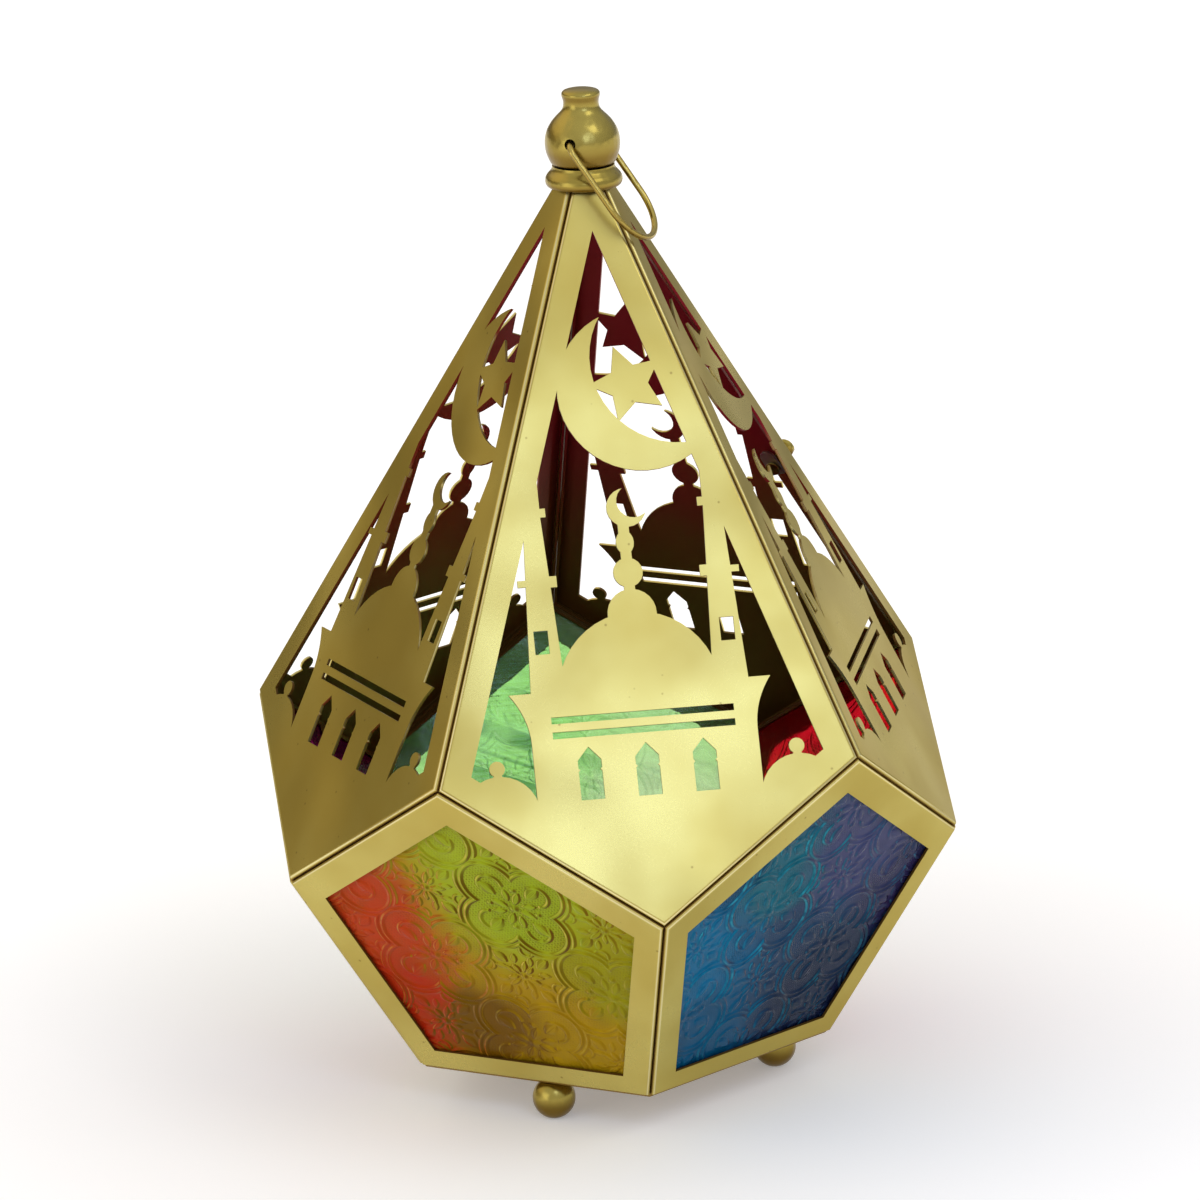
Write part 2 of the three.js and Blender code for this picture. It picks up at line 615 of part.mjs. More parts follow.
// Hinge of the door. Its own frame has the pin along Z, the leaf lying along +X and its underside
// facing -Y, one clearance above the panel's outer face.
const AXIS_HEIGHT = KNUCKLE_RADIUS + CLEARANCE; // of the pin above both faces
const KNUCKLE_GAP = CLEARANCE;
const KNUCKLE = (HINGE_LENGTH - 2 * KNUCKLE_GAP) / 3;
const knuckleSpan = (place) => {
  const bottom = -HINGE_LENGTH / 2 + place * (KNUCKLE + KNUCKLE_GAP);
  return [bottom, bottom + KNUCKLE];
};

function hingeLeaf(places) {
  const plate = block(
    [KNUCKLE_RADIUS + KNUCKLE_GAP, -KNUCKLE_RADIUS, -HINGE_LENGTH / 2],
    [LEAF_WIDTH, SHEET - KNUCKLE_RADIUS, HINGE_LENGTH / 2],
  );
  const knuckles = places.map((place) => {
    const [bottom, top] = knuckleSpan(place);
    const strap = block([0, -KNUCKLE_RADIUS, bottom], [2 * KNUCKLE_RADIUS, SHEET - KNUCKLE_RADIUS, top]);
    return rod(KNUCKLE_RADIUS, bottom, top, 18).add(strap);
  });
  const bore = rod(PIN_RADIUS + PIN_CLEARANCE, -HINGE_LENGTH, HINGE_LENGTH, 12);
  return join([plate, ...knuckles]).subtract(bore);
}

function hingePin() {
  const end = HINGE_LENGTH / 2 + KNUCKLE_GAP;
  return join([
    rod(PIN_RADIUS, -end - PIN_RADIUS, end + PIN_RADIUS, 12),
    rod(PIN_HEAD, -end - PIN_RADIUS, -end, 12),
    rod(PIN_HEAD, end, end + PIN_RADIUS, 12),
  ]);
}

// Latch: a knob on a shaft through the door, with a tongue that turns behind the next panel's edge.
const TONGUE_DEPTH = PANEL_FLANGE * Math.sin(FOLD) + (JOINT_GAP / 2 + SHEET) * Math.cos(FOLD) + CLEARANCE;
const SHAFT_HOLE = LATCH_SHAFT + CLEARANCE;

function latchKnob() {
  const rivet = TONGUE_DEPTH + SHEET + CLEARANCE;
  return turned([
    [0, -rivet - SHEET],
    [LATCH_SHAFT + SHEET, -rivet - SHEET],
    [LATCH_SHAFT + SHEET, -rivet],
    [LATCH_SHAFT, -rivet],
    [LATCH_SHAFT, CLEARANCE],
    [LATCH_KNOB * 0.8, CLEARANCE],
    [LATCH_KNOB * 0.6, CLEARANCE + SHEET],
    [LATCH_KNOB * 0.6, LATCH_KNOB_HEIGHT * 0.4],
    [LATCH_KNOB, LATCH_KNOB_HEIGHT * 0.6],
    [LATCH_KNOB, LATCH_KNOB_HEIGHT * 0.8],
    [LATCH_KNOB * 0.7, LATCH_KNOB_HEIGHT * 0.95],
    [0, LATCH_KNOB_HEIGHT],
  ], 14);
}

function latchTongue() {
  const half = TONGUE_WIDTH / 2;
  const bar = block([-half, -TONGUE_TAIL, -TONGUE_DEPTH - SHEET], [half, TONGUE_NOSE - half, -TONGUE_DEPTH]);
  const nose = rod(half, -TONGUE_DEPTH - SHEET, -TONGUE_DEPTH, 16).translate([0, TONGUE_NOSE - half, 0]);
  return bar.add(nose).subtract(rod(SHAFT_HOLE, -2 * TONGUE_DEPTH, 0, 14));
}

// The free edge's place for the latch, in the door's own frame, and the direction along that edge.
const [, doorHingeCorner, doorPoint, doorFreeCorner] = panelCorners();
const freeEdge = doorPoint.clone().sub(doorFreeCorner).normalize();
const latchPlace = doorFreeCorner.clone()
  .addScaledVector(freeEdge, LATCH_ALONG)
  .addScaledVector(new THREE.Vector2(freeEdge.y, -freeEdge.x), LATCH_INSET);

function doorPanel() {
  const hole = rod(SHAFT_HOLE, -2 * SHEET, SHEET, 14).translate([latchPlace.x, latchPlace.y, 0]);
  return piercedPanel(DOOR_TOP_DROP).subtract(hole);
}

// Assembly
const lantern = new THREE.Group();

function add(name, solid, finish, parent = lantern) {
  const mesh = new THREE.Mesh(toGeometry(solid), new THREE.MeshStandardMaterial(finish));
  mesh.name = name;
  parent.add(mesh);
  return mesh;
}

// A group whose XY plane is one side face: x level, y up the slope, z outwards.
function faceGroup(azimuth, tilt) {
  const turn = radians(azimuth);
  const normal = new THREE.Vector3(Math.sin(turn) * Math.cos(tilt), -Math.cos(turn) * Math.cos(tilt), Math.sin(tilt));
  const across = new THREE.Vector3(Math.cos(turn), Math.sin(turn), 0);
  const upSlope = new THREE.Vector3().crossVectors(normal, across);
  const group = new THREE.Group();
  group.quaternion.setFromRotationMatrix(new THREE.Matrix4().makeBasis(across, upSlope, normal));
  group.position.copy(normal).multiplyScalar(FACE_DISTANCE).add(new THREE.Vector3(0, 0, CENTRE_Z));
  lantern.add(group);
  return group;
}

const panelSolid = piercedPanel(PANEL_TOP_DROP);
for (const [name, azimuth] of [['front', 0], ['right', 72], ['back_left', 216], ['left', 288]]) {
  add(`${name}_window_panel`, panelSolid, GOLD, faceGroup(azimuth, FACE_TILT));
}

const frameSolid = glassFrame();
const paneSolid = glassPane();
const panes = [
  ['front_right', 36, 0x1f6f9a],
  ['right', 108, 0xb02020],
  ['back', 180, 0x7fd68a],
  ['left', 252, 0x9a2050],
  ['front_left', 324, 0xb5752a],
];
for (const [name, azimuth, color] of panes) {
  const group = faceGroup(azimuth, -FACE_TILT);
  add(`${name}_frame`, frameSolid, GOLD, group);
  add(`${name}_pane`, paneSolid, { ...GLASS_FINISH, color, transparent: true, opacity: 0.6 }, group);
}

add('floor_plate', floorPlate(), GOLD);
add('candle_cup', candleCup(), GOLD);
add('cup_screw', panScrew(SCREW_RADIUS, SCREW_HEAD, SCREW_HEAD_HEIGHT,
  CUP_NUT_TOP - NUT_HEIGHT - CLEARANCE, CUP_SEAT + SHEET + CLEARANCE), STEEL);
add('cup_nut', hexNut(), STEEL);

const footSolid = ballFoot();
const footScrewSolid = panScrew(SCREW_RADIUS, SCREW_HEAD, SCREW_HEAD_HEIGHT,
  FOOT_HEIGHT - SCREW_DEPTH, FLOOR_TOP + CLEARANCE);
FOOT_AZIMUTHS.forEach((azimuth, i) => {
  add(`ball_foot_${i + 1}`, footSolid, GOLD).position.copy(footPlace(azimuth));
  add(`foot_screw_${i + 1}`, footScrewSolid, STEEL).position.copy(footPlace(azimuth));
});

add('cone_washer', coneWasher(), STEEL);
add('crown_bolt', crownBolt(), STEEL);
add('collar', collar(), GOLD);
add('finial', finial(), GOLD);

// The bail's plane holds the bore's direction and hangs towards its other side.
const bailTurn = radians(BAIL_AZIMUTH);
const boreWay = new THREE.Vector3(Math.sin(bailTurn), -Math.cos(bailTurn), 0);
const hangSide = new THREE.Vector3(Math.cos(bailTurn), Math.sin(bailTurn), 0);
const hangWay = hangSide.multiplyScalar(Math.sin(radians(BAIL_REST)))
  .add(new THREE.Vector3(0, 0, -Math.cos(radians(BAIL_REST))));
const bailMesh = add('bail', bail(), GOLD);
bailMesh.quaternion.setFromRotationMatrix(
  new THREE.Matrix4().makeBasis(boreWay, hangWay, new THREE.Vector3().crossVectors(boreWay, hangWay)),
);
bailMesh.position.set(0, 0, FINIAL_Z + BAIL_BORE_RISE);

// Door, and its hinges on the ridge between it and the next panel.
const doorGroup = faceGroup(DOOR_AZIMUTH, FACE_TILT);
add('door_panel', doorPanel(), GOLD, doorGroup);

const latchGroup = new THREE.Group();
latchGroup.position.set(latchPlace.x, latchPlace.y, 0);
latchGroup.rotation.z = Math.atan2(freeEdge.y, freeEdge.x) - Math.PI / 2;
doorGroup.add(latchGroup);
add('latch_knob', latchKnob(), GOLD, latchGroup);
add('latch_tongue', latchTongue(), STEEL, latchGroup);

// The pin stands off the ridge, at the same height above both faces.
const ridgeTurn = radians(DOOR_AZIMUTH + 180 / SIDES);
const outwards = new THREE.Vector3(Math.sin(ridgeTurn), -Math.cos(ridgeTurn), 0);
const upwards = new THREE.Vector3(0, 0, 1);
const alongRidge = outwards.clone().multiplyScalar(-Math.cos(FOLD)).addScaledVector(upwards, Math.sin(FOLD));
const offRidge = outwards.clone().multiplyScalar(Math.sin(FOLD)).addScaledVector(upwards, Math.cos(FOLD));
const ridgeLength = doorPoint.distanceTo(doorHingeCorner);
const pinOffset = AXIS_HEIGHT / Math.sin(FOLD);

// A hinge leaf lies on the face whose azimuth is given, so its frame is turned to that face.
function leafGroup(azimuth, along) {
  const turn = radians(azimuth);
  const normal = new THREE.Vector3(
    Math.sin(turn) * Math.cos(FACE_TILT),
    -Math.cos(turn) * Math.cos(FACE_TILT),
    Math.sin(FACE_TILT),
  );
  const away = new THREE.Vector3().crossVectors(normal, alongRidge);
  const side = azimuth === DOOR_AZIMUTH ? -1 : 1;
  const intoFace = away.multiplyScalar(Math.sign(away.dot(new THREE.Vector3(Math.cos(turn), Math.sin(turn), 0))) * side);
  const group = new THREE.Group();
  const third = new THREE.Vector3().crossVectors(intoFace, normal);
  group.quaternion.setFromRotationMatrix(new THREE.Matrix4().makeBasis(intoFace, normal, third));
  group.position.set(0, 0, POINT_Z)
    .addScaledVector(alongRidge, along - ridgeLength)
    .addScaledVector(offRidge, pinOffset);
  lantern.add(group);
  return group;
}

HINGE_PLACES.forEach((along, i) => {
  const name = ['lower', 'upper'][i];
  const doorSide = leafGroup(DOOR_AZIMUTH, along);
  add(`${name}_hinge_door_leaf`, hingeLeaf([0, 2]), GOLD, doorSide);
  add(`${name}_hinge_fixed_leaf`, hingeLeaf([1]), GOLD, leafGroup(DOOR_AZIMUTH + 360 / SIDES, along));
  add(`${name}_hinge_pin`, hingePin(), STEEL, doorSide);
});

export default lantern;
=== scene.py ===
# %% [markdown]
# # A candle lantern of folded sheet, pierced panels and pressed glass
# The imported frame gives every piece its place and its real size, in metres. These cells dress it:
# first the metal and glass finishes, then each piece that needs a finer shape than its plain solid,
# and last the floor, the light and the camera.

import math

import bpy
import numpy as np
from mathutils import Matrix, Vector


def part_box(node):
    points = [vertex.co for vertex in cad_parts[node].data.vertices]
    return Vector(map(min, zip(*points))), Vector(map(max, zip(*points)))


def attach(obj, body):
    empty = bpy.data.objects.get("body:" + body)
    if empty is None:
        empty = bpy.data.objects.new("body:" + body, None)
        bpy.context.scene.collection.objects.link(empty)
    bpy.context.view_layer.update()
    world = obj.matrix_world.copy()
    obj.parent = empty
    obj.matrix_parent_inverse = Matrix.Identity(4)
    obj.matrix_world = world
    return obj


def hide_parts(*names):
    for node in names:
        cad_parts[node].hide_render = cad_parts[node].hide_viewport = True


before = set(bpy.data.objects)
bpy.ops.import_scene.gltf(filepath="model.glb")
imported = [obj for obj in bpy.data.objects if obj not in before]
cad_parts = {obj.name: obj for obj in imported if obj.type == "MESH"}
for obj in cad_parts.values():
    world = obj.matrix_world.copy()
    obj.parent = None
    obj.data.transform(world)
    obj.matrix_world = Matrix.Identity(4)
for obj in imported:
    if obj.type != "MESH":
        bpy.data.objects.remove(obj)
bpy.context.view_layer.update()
MM = 0.001

# %% [markdown]
# ## How the lantern is laid out
# The floor, the five glass faces and the lower halves of the five panels are faces of a regular
# twelve-sided solid. Every side face therefore has the same flat pattern, and one matrix puts a flat
# drawing on it: x level, y up the slope, z outwards. Drawing a pane flat and then placing it is how
# the real one is made too, cut from a sheet and dropped into its frame.

# %% Places of the side faces
EDGE = 77 * MM
FLOOR_Z = 11.55 * MM
DIHEDRAL = math.acos(-1 / math.sqrt(5))
TILT = DIHEDRAL - math.pi / 2
APOTHEM = EDGE / (2 * math.tan(math.pi / 5))
FACE_DISTANCE = APOTHEM * math.tan(DIHEDRAL / 2)
CENTRE = Vector((0, 0, FLOOR_Z + FACE_DISTANCE))
POINT_Z = CENTRE.z + FACE_DISTANCE / math.sin(TILT)


def face_axes(azimuth, tilt):
    turn = math.radians(azimuth)
    normal = Vector((math.sin(turn) * math.cos(tilt), -math.cos(turn) * math.cos(tilt), math.sin(tilt)))
    across = Vector((math.cos(turn), math.sin(turn), 0))
    return across, normal.cross(across), normal


def face_matrix(azimuth, tilt):
    across, up_slope, normal = face_axes(azimuth, tilt)
    matrix = Matrix((across, up_slope, normal)).transposed().to_4x4()
    matrix.translation = CENTRE + normal * FACE_DISTANCE
    return matrix


print("body centre", round(CENTRE.z / MM, 1), "mm up, faces meet", round(POINT_Z / MM, 1), "mm up")

# %% [markdown]
# ## Writing finishes as sums
# A finish is a formula over the surface. One small class wraps a node's socket so that the formula
# can be written with plus, minus and times, and one method adds any other node. That keeps each
# finish a few readable lines instead of a page of links.


# %% A socket that can be added and multiplied
class Field:
    def __init__(self, finish, socket):
        self.finish = finish
        self.socket = socket

    def maths(self, operation, first, second):
        return self.finish.node("ShaderNodeMath", {"operation": operation}, {0: first, 1: second})

    def __add__(self, other):
        return self.maths("ADD", self, other)

    def __sub__(self, other):
        return self.maths("SUBTRACT", self, other)

    def __mul__(self, other):
        return self.maths("MULTIPLY", self, other)

    def __rsub__(self, other):
        return self.maths("SUBTRACT", other, self)

    def __pow__(self, other):
        return self.maths("POWER", self, other)

    def smooth(self, low, high):
        """0 below low, 1 above high, and an easy rise between them."""
        return self.finish.node("ShaderNodeMapRange", {"interpolation_type": "SMOOTHSTEP", "clamp": True},
                                {"Value": self, "From Min": low, "From Max": high})

    def vector(self, operation, other, output="Vector"):
        inputs = {0: self, 1: other}
        return self.finish.node("ShaderNodeVectorMath", {"operation": operation}, inputs, output)

    def output(self, name):
        return Field(self.finish, self.socket.node.outputs[name])


# %% A finish and its nodes
def linear(red, green, blue):
    """A colour given as on a screen, 0 to 255, as the linear values that a shader works in."""
    return tuple(((c / 255 + 0.055) / 1.055) ** 2.4 if c > 10 else c / 3295
                 for c in (red, green, blue)) + (1.0,)


class Finish:
    """A new material, or with the other settings the light of the studio around it."""

    def __init__(self, name, store=bpy.data.materials, shader="Principled BSDF", place="Object"):
        self.material = store.new(name)
        self.material.use_nodes = True
        self.tree = self.material.node_tree
        self.shader = self.tree.nodes[shader]
        self.place = self.node("ShaderNodeTexCoord", output=place)

    def node(self, kind, settings=None, inputs=None, output=0):
        node = self.tree.nodes.new(kind)
        for name, value in (settings or {}).items():
            setattr(node, name, value)
        for name, value in (inputs or {}).items():
            self.feed(node.inputs[name], value)
        return Field(self, node.outputs[output])

    def feed(self, socket, value):
        if isinstance(value, Field):
            self.tree.links.new(value.socket, socket)
        else:
            socket.default_value = value

    def facing(self):
        """Which way the surface faces, on the object itself."""
        return self.node("ShaderNodeTexCoord", output="Normal")

    def noise(self, scale, detail=2.0, place=None):
        """Soft clouds whose features are about 1/scale metres across."""
        return self.node("ShaderNodeTexNoise", {},
                         {"Vector": place or self.place, "Scale": scale, "Detail": detail})

    def cells(self, scale, randomness=1.0):
        """Distance from the nearest of many points, which lie about 1/scale metres apart."""
        return self.node("ShaderNodeTexVoronoi", {"feature": "F1"},
                         {"Vector": self.place, "Scale": scale, "Randomness": randomness}, "Distance")

    def along(self, direction, origin=(0, 0, 0)):
        """Distance along a direction from an origin, in metres."""
        shifted = self.place.vector("SUBTRACT", tuple(origin))
        return shifted.vector("DOT_PRODUCT", tuple(direction), "Value")

    def mix(self, factor, first, second, blend="MIX"):
        return self.node("ShaderNodeMix", {"data_type": "RGBA", "blend_type": blend},
                         {0: factor, 6: first, 7: second}, 2)

    def bump(self, height, distance, strength=1.0, onto=None):
        inputs = {"Height": height, "Distance": distance, "Strength": strength}
        if onto is not None:
            inputs["Normal"] = onto
        return self.node("ShaderNodeBump", {}, inputs)

    def surface(self, **sockets):
        for name, value in sockets.items():
            self.feed(self.shader.inputs[name.replace("_", " ")], value)


# %% [markdown]
# ## Satin gold sheet
# The sheet is steel or brass with a pale champagne gold finish: a metal, so nearly all its colour is
# what it reflects, softened by a satin roughness. Folded sheet is never quite flat, and slow waves that
# tilt it by a degree or two are what make its reflections drift across a panel. A finer orange-peel and
# a few pinholes show only close up. The seams get a painted shade, darker where the gap is deep, and
# the folds beside them a painted highlight, a pale line where a bend catches the light, so both follow
# the depth below the outer faces. The inside gets a painted shade, brown in the lower part, with painted
# wine red to rust light from the coloured glass above, so the finish tells inside from outside by which
# way a face points from the middle of the body.


# %% Satin gold
PEEL_HEIGHT = 0.012 * MM
PINHOLE = linear(120, 92, 40)


def satin_gold(name, roughness, wave, tone):
    """What sheet, castings and wire share: a finish with its colour, roughness and normal.
    wave: the depth in metres given to the slow waves, which are about 70 mm across."""
    finish = Finish(name)
    clouds = finish.noise(22.0, 3.0)
    grain = finish.noise(2600.0)
    peel = finish.noise(420.0, 3.0)
    deep = linear(tone[0] * 0.93, tone[1] * 0.90, tone[2] * 0.80)
    colour = finish.mix(clouds.smooth(0.35, 0.68), linear(*tone), deep)
    pit = 1 - finish.cells(150.0).smooth(0.03, 0.085)
    colour = finish.mix(pit * 0.55, colour, PINHOLE)
    normal = finish.bump(finish.noise(15.0, 1.0), wave)
    normal = finish.bump(peel + grain * 0.35 - pit * 0.8, PEEL_HEIGHT, 0.6, normal)
    rough = clouds * 0.10 + grain * 0.06 + (roughness - 0.08)
    return finish, colour, rough, normal


def seam_depth(finish):
    """How far a point lies below the body's outer faces, in metres."""
    depth = None
    for azimuth in range(0, 360, 36):
        normal = face_axes(azimuth, TILT if azimuth % 72 == 0 else -TILT)[2]
        below = FACE_DISTANCE - finish.along(normal, CENTRE)
        depth = below if depth is None else depth.maths("MINIMUM", depth, below)
    return depth


# %% The dark inside, and the gold sheet
# Painted shade for the inside, and painted red and orange light from the coloured glass.
INSIDE_SHADE_BROWN, INSIDE_RED_LIGHT, INSIDE_ORANGE_LIGHT = linear(98, 70, 24), linear(146, 18, 40), linear(136, 52, 22)
# Painted shade for the seams, and a painted highlight for the folds beside them.
SEAM_SHADE, FOLD_HIGHLIGHT = linear(132, 92, 38), linear(250, 240, 196)


# Painted shade, brown below, with painted red and orange light from the glass higher up and to the left.
def painted_inside_light(finish):
    height = finish.along((0, 0, 1)) + finish.noise(30.0) * (30 * MM)
    to_the_left = finish.along((-1, 0, 0)).smooth(5 * MM, 45 * MM)
    orange_light_share = to_the_left * 0.6 + finish.noise(16.0).smooth(0.42, 0.62) * 0.4
    return finish.mix(height.smooth(135 * MM, 215 * MM), INSIDE_SHADE_BROWN, finish.mix(orange_light_share, INSIDE_RED_LIGHT, INSIDE_ORANGE_LIGHT))


def sheet_gold(name, roughness, wave, tone):
    finish, colour, rough, normal = satin_gold(name, roughness, wave, tone)
    from_centre = finish.place.vector("SUBTRACT", tuple(CENTRE))
    outward = from_centre.vector("DOT_PRODUCT", finish.facing(), "Value")
    inside = 1 - outward.smooth(-30 * MM, -12 * MM)
    depth = seam_depth(finish)
    # A painted highlight along the rounded folds next to each seam.
    fold_highlight = depth.smooth(0.06 * MM, 0.16 * MM) * (1 - depth.smooth(0.3 * MM, 0.5 * MM))
    colour = finish.mix(fold_highlight * 0.45, colour, FOLD_HIGHLIGHT)
    # Painted shade deep in the seams, on the outside only.
    seam_shade = depth.smooth(0.45 * MM, 1.0 * MM) * (1 - inside)
    colour = finish.mix(seam_shade * 0.75, colour, SEAM_SHADE)
    colour = finish.mix(inside, colour, painted_inside_light(finish))
    finish.shader.inputs["Coat Roughness"].default_value = 0.3
    finish.shader.inputs["Specular Tint"].default_value = (0.62, 0.58, 0.48, 1)
    finish.surface(Base_Color=colour, Metallic=1 - inside * 0.6, Normal=normal,
                   Roughness=rough + inside * 0.12 + seam_shade * 0.3, Coat_Weight=(1 - inside) * 0.15)
    return finish.material


GOLD = sheet_gold("satin_gold_sheet", 0.29, 6.0 * MM, (206, 191, 107))
print("finish", GOLD.name)

# %% [markdown]
# ## Cast and turned gold
# The finial, collar, feet and knob are cast or turned and then coated, so their skin is smoother and
# a little deeper in colour, with the faint unevenness of a casting that has been tumbled. Their
# undersides, and the bail's, are painted browner, a painted shade for the dimmer light they reflect.
# The bail is drawn wire, smoother still.


# %% Cast gold, wire and steel
LUMP_HEIGHT = 0.7 * MM
UNDERSIDE_SHADE = linear(116, 90, 36)


def cast_gold(name, roughness, wave, tone):
    finish, colour, rough, normal = satin_gold(name, roughness, wave, tone)
    normal = finish.bump(finish.noise(150.0), LUMP_HEIGHT, 0.8, normal)
    upward = finish.facing().vector("DOT_PRODUCT", (0, 0, 1), "Value")
    # Painted shade: faces that point down are drawn browner.
    colour = finish.mix((1 - upward.smooth(-0.40, 0.30)) * 0.85, colour, UNDERSIDE_SHADE)
    finish.surface(Base_Color=colour, Metallic=1.0, Roughness=rough, Normal=normal)
    return finish.material


def plated_steel(name):
    """Bright screws and pins, with the fine rings of turning across their length."""
    finish = Finish(name)
    turning = finish.noise(900.0, 3.0, finish.place.vector("MULTIPLY", (1.0, 1.0, 6.0)))
    stain = finish.noise(60.0).smooth(0.45, 0.75)
    colour = finish.mix(stain, linear(182, 184, 188), linear(150, 148, 142))
    finish.surface(Base_Color=colour, Metallic=1.0, Roughness=turning * 0.2 + 0.22,
                   Normal=finish.bump(turning, 0.01 * MM))
    return finish.material


CAST = cast_gold("cast_gold", 0.29, 0.7 * MM, (174, 157, 80))
WIRE = cast_gold("drawn_wire", 0.26, 0.1 * MM, (190, 170, 92))
STEEL = plated_steel("plated_steel")
print("finishes", CAST.name, WIRE.name, STEEL.name)

# %% [markdown]
# ## Stained pressed glass
# Each pane is clear pressed glass with a transparent stain brushed on, which runs from one colour to
# another. The stain on the two front panes is thick and scatters most of the light, so about a third
# goes through them. The others are thinly stained, and four fifths go through. The colours blend along
# the pane's own level and slope directions, moved about a little by noise, as a brush would leave them.
# Along the relief one flank of each line gets painted shade and the other a painted highlight, for the
# light that the relief bends and reflects, and the colours slide a little with the lean, a painted
# refraction. The fine stipple inside the medallions gets the same painted shade. These painted marks
# show most around one spot of each pane.

# %% The stain's colours
STREAK_SHARE, STREAK_DARK = 0.18, 0.62


def stain_colour(finish, middle, across, up_slope, lean, base, patches, streaks):
    """patches: (x, y, radius, colour) in the pane's own millimetres, painted one over the other."""
    drift = finish.noise(45.0) - 0.5
    # Shifting by the lean is a painted refraction: each flank shows the stain's colour from beside it.
    x = finish.along(across, middle) + drift * (20 * MM) - lean * (22 * MM)
    y = finish.along(up_slope, middle) + drift * (-16 * MM)
    colour = linear(*base)
    for patch_x, patch_y, radius, tone in patches:
        away = ((x - patch_x * MM) ** 2.0 + (y - patch_y * MM) ** 2.0) ** 0.5
        cover = 1 - away.smooth(radius * 0.45 * MM, radius * MM)
        colour = finish.mix(cover, colour, linear(*tone))
    streaked = linear(*[c * STREAK_DARK for c in base])
    return finish.mix(streaks.smooth(0.35, 0.75) * STREAK_SHARE, colour, streaked)


# %% The relief's marks
def relief_marks(finish, colour, lean, marks_strongest_at, glint, shade):
    """The colour with painted shade on one flank of each line and at the foot of the other, a painted
    highlight higher on that other flank, and the stipple darkened with the painted shade; and how strong
    the stipple is.
    """
    field = finish.node("ShaderNodeAttribute", {"attribute_name": "field"}, output="Fac")
    away = finish.place.vector("DISTANCE", tuple(marks_strongest_at), "Value")
    patchy = finish.noise(70.0, 1.0).smooth(0.38, 0.60) * 0.5 + 0.5
    shown = (1 - away.smooth(18 * MM, 46 * MM) * 0.7) * patchy
    broken = finish.noise(330.0, 1.0).smooth(0.46, 0.60) * 0.6 + 0.3
    shaded = finish.mix(1.0, colour, shade + (1,), "MULTIPLY")
    foot = lean.smooth(0.03, 0.16) * (1 - lean.smooth(0.16, 0.30))
    # Painted shade on one flank and at the foot of the other, then a painted highlight higher on that
    # other flank.
    colour = finish.mix((0 - lean).smooth(0.03, 0.32) * 0.9 * shown, colour, shaded)
    colour = finish.mix(foot * 0.5 * shown, colour, shaded)
    colour = finish.mix(lean.smooth(0.16, 0.50) * broken * shown, colour, linear(*glint))
    # The stipple's dots get the same painted shade.
    stipple = (1 - finish.cells(1350.0, 0.1).smooth(0.10, 0.60)) * field * shown
    return finish.mix(stipple * 0.5, colour, shaded), stipple


# %% Stained glass
def stained_glass(name, azimuth, base, patches, through, glint, shade, clear):
    """through: the share of light that passes. clear: where the painted relief marks show most, in
    millimetres.
    """
    finish = Finish(name)
    across, up_slope, normal = face_axes(azimuth, -TILT)
    middle = CENTRE + normal * FACE_DISTANCE
    marks_strongest_at = middle + across * clear[0] * MM + up_slope * clear[1] * MM
    lean = finish.node("ShaderNodeAttribute", {"attribute_name": "lean"}, output="Fac")
    streaks = finish.noise(140.0, 3.0)
    colour = stain_colour(finish, middle, across, up_slope, lean, base, patches, streaks)
    colour, stipple = relief_marks(finish, colour, lean, marks_strongest_at, glint, shade)
    ripple = finish.bump(finish.noise(210.0, 3.0), 0.10 * MM, 0.6)
    ripple = finish.bump(stipple, 0.16 * MM, 0.9, ripple)
    finish.shader.inputs["Transmission Weight"].default_value = through
    finish.shader.inputs["IOR"].default_value = 1.5
    finish.shader.inputs["Specular IOR Level"].default_value = 0.05
    finish.shader.inputs["Specular Tint"].default_value = linear(*glint)
    finish.surface(Base_Color=colour, Roughness=streaks * 0.06 + 0.06, Normal=ripple)
    return finish.material


# %% The five panes' stains
THICK, THIN = 0.32, 0.8
GLASS = {
    "front_left": stained_glass(
        "amber_stain", -36, (204, 164, 22),
        [(14, 30, 46, (194, 210, 44)), (42, -4, 28, (184, 178, 24)), (-46, 10, 42, (224, 74, 34)),
         (-38, -28, 32, (212, 50, 22)), (-10, -34, 24, (140, 96, 12)), (16, 20, 22, (182, 202, 34))],
        THICK, (255, 226, 84), (0.34, 0.12, 0.10), (8, 16)),
    "front_right": stained_glass(
        "blue_stain", 36, (40, 76, 116),
        [(-48, -8, 44, (0, 126, 176)), (-26, -38, 30, (2, 98, 144)), (-12, 25, 24, (16, 122, 142)),
         (25, 28, 36, (80, 80, 130)), (46, 0, 24, (58, 52, 98)), (24, -30, 34, (30, 42, 78))],
        THICK, (72, 196, 220), (0.24, 0.26, 0.42), (-24, 16)),
    "right": stained_glass(
        "red_stain", 108, (238, 24, 28),
        [(20, 20, 40, (222, 20, 40)), (-30, -10, 30, (244, 50, 32))],
        THIN, (255, 120, 110), (0.12, 0.01, 0.01), (0, 0)),
    "back": stained_glass(
        "green_stain", 180, (192, 252, 160),
        [(20, 30, 40, (170, 248, 134)), (-30, -10, 36, (214, 253, 184))],
        THIN, (236, 255, 226), (0.01, 0.14, 0.03), (20, 0)),
    "left": stained_glass(
        "magenta_stain", 252, (176, 14, 96),
        [(-20, 20, 40, (156, 12, 116)), (30, -16, 34, (196, 22, 64))],
        THIN, (255, 110, 170), (0.3, 0.1, 0.2), (0, 0)),
}
GLASS_SLOTS = {"front_left": "amber_glass", "front_right": "blue_glass", "right": "red_glass",
               "back": "green_glass", "left": "magenta_glass"}
print(len(GLASS), "stained panes")

# %% [markdown]
# ## Putting a piece in its place
# Operators act on whatever is selected, so every step starts by selecting one object alone. A
# finished piece keeps its place in its mesh, rides on the body that carries it, and hides the plain
# solid that it stands for.


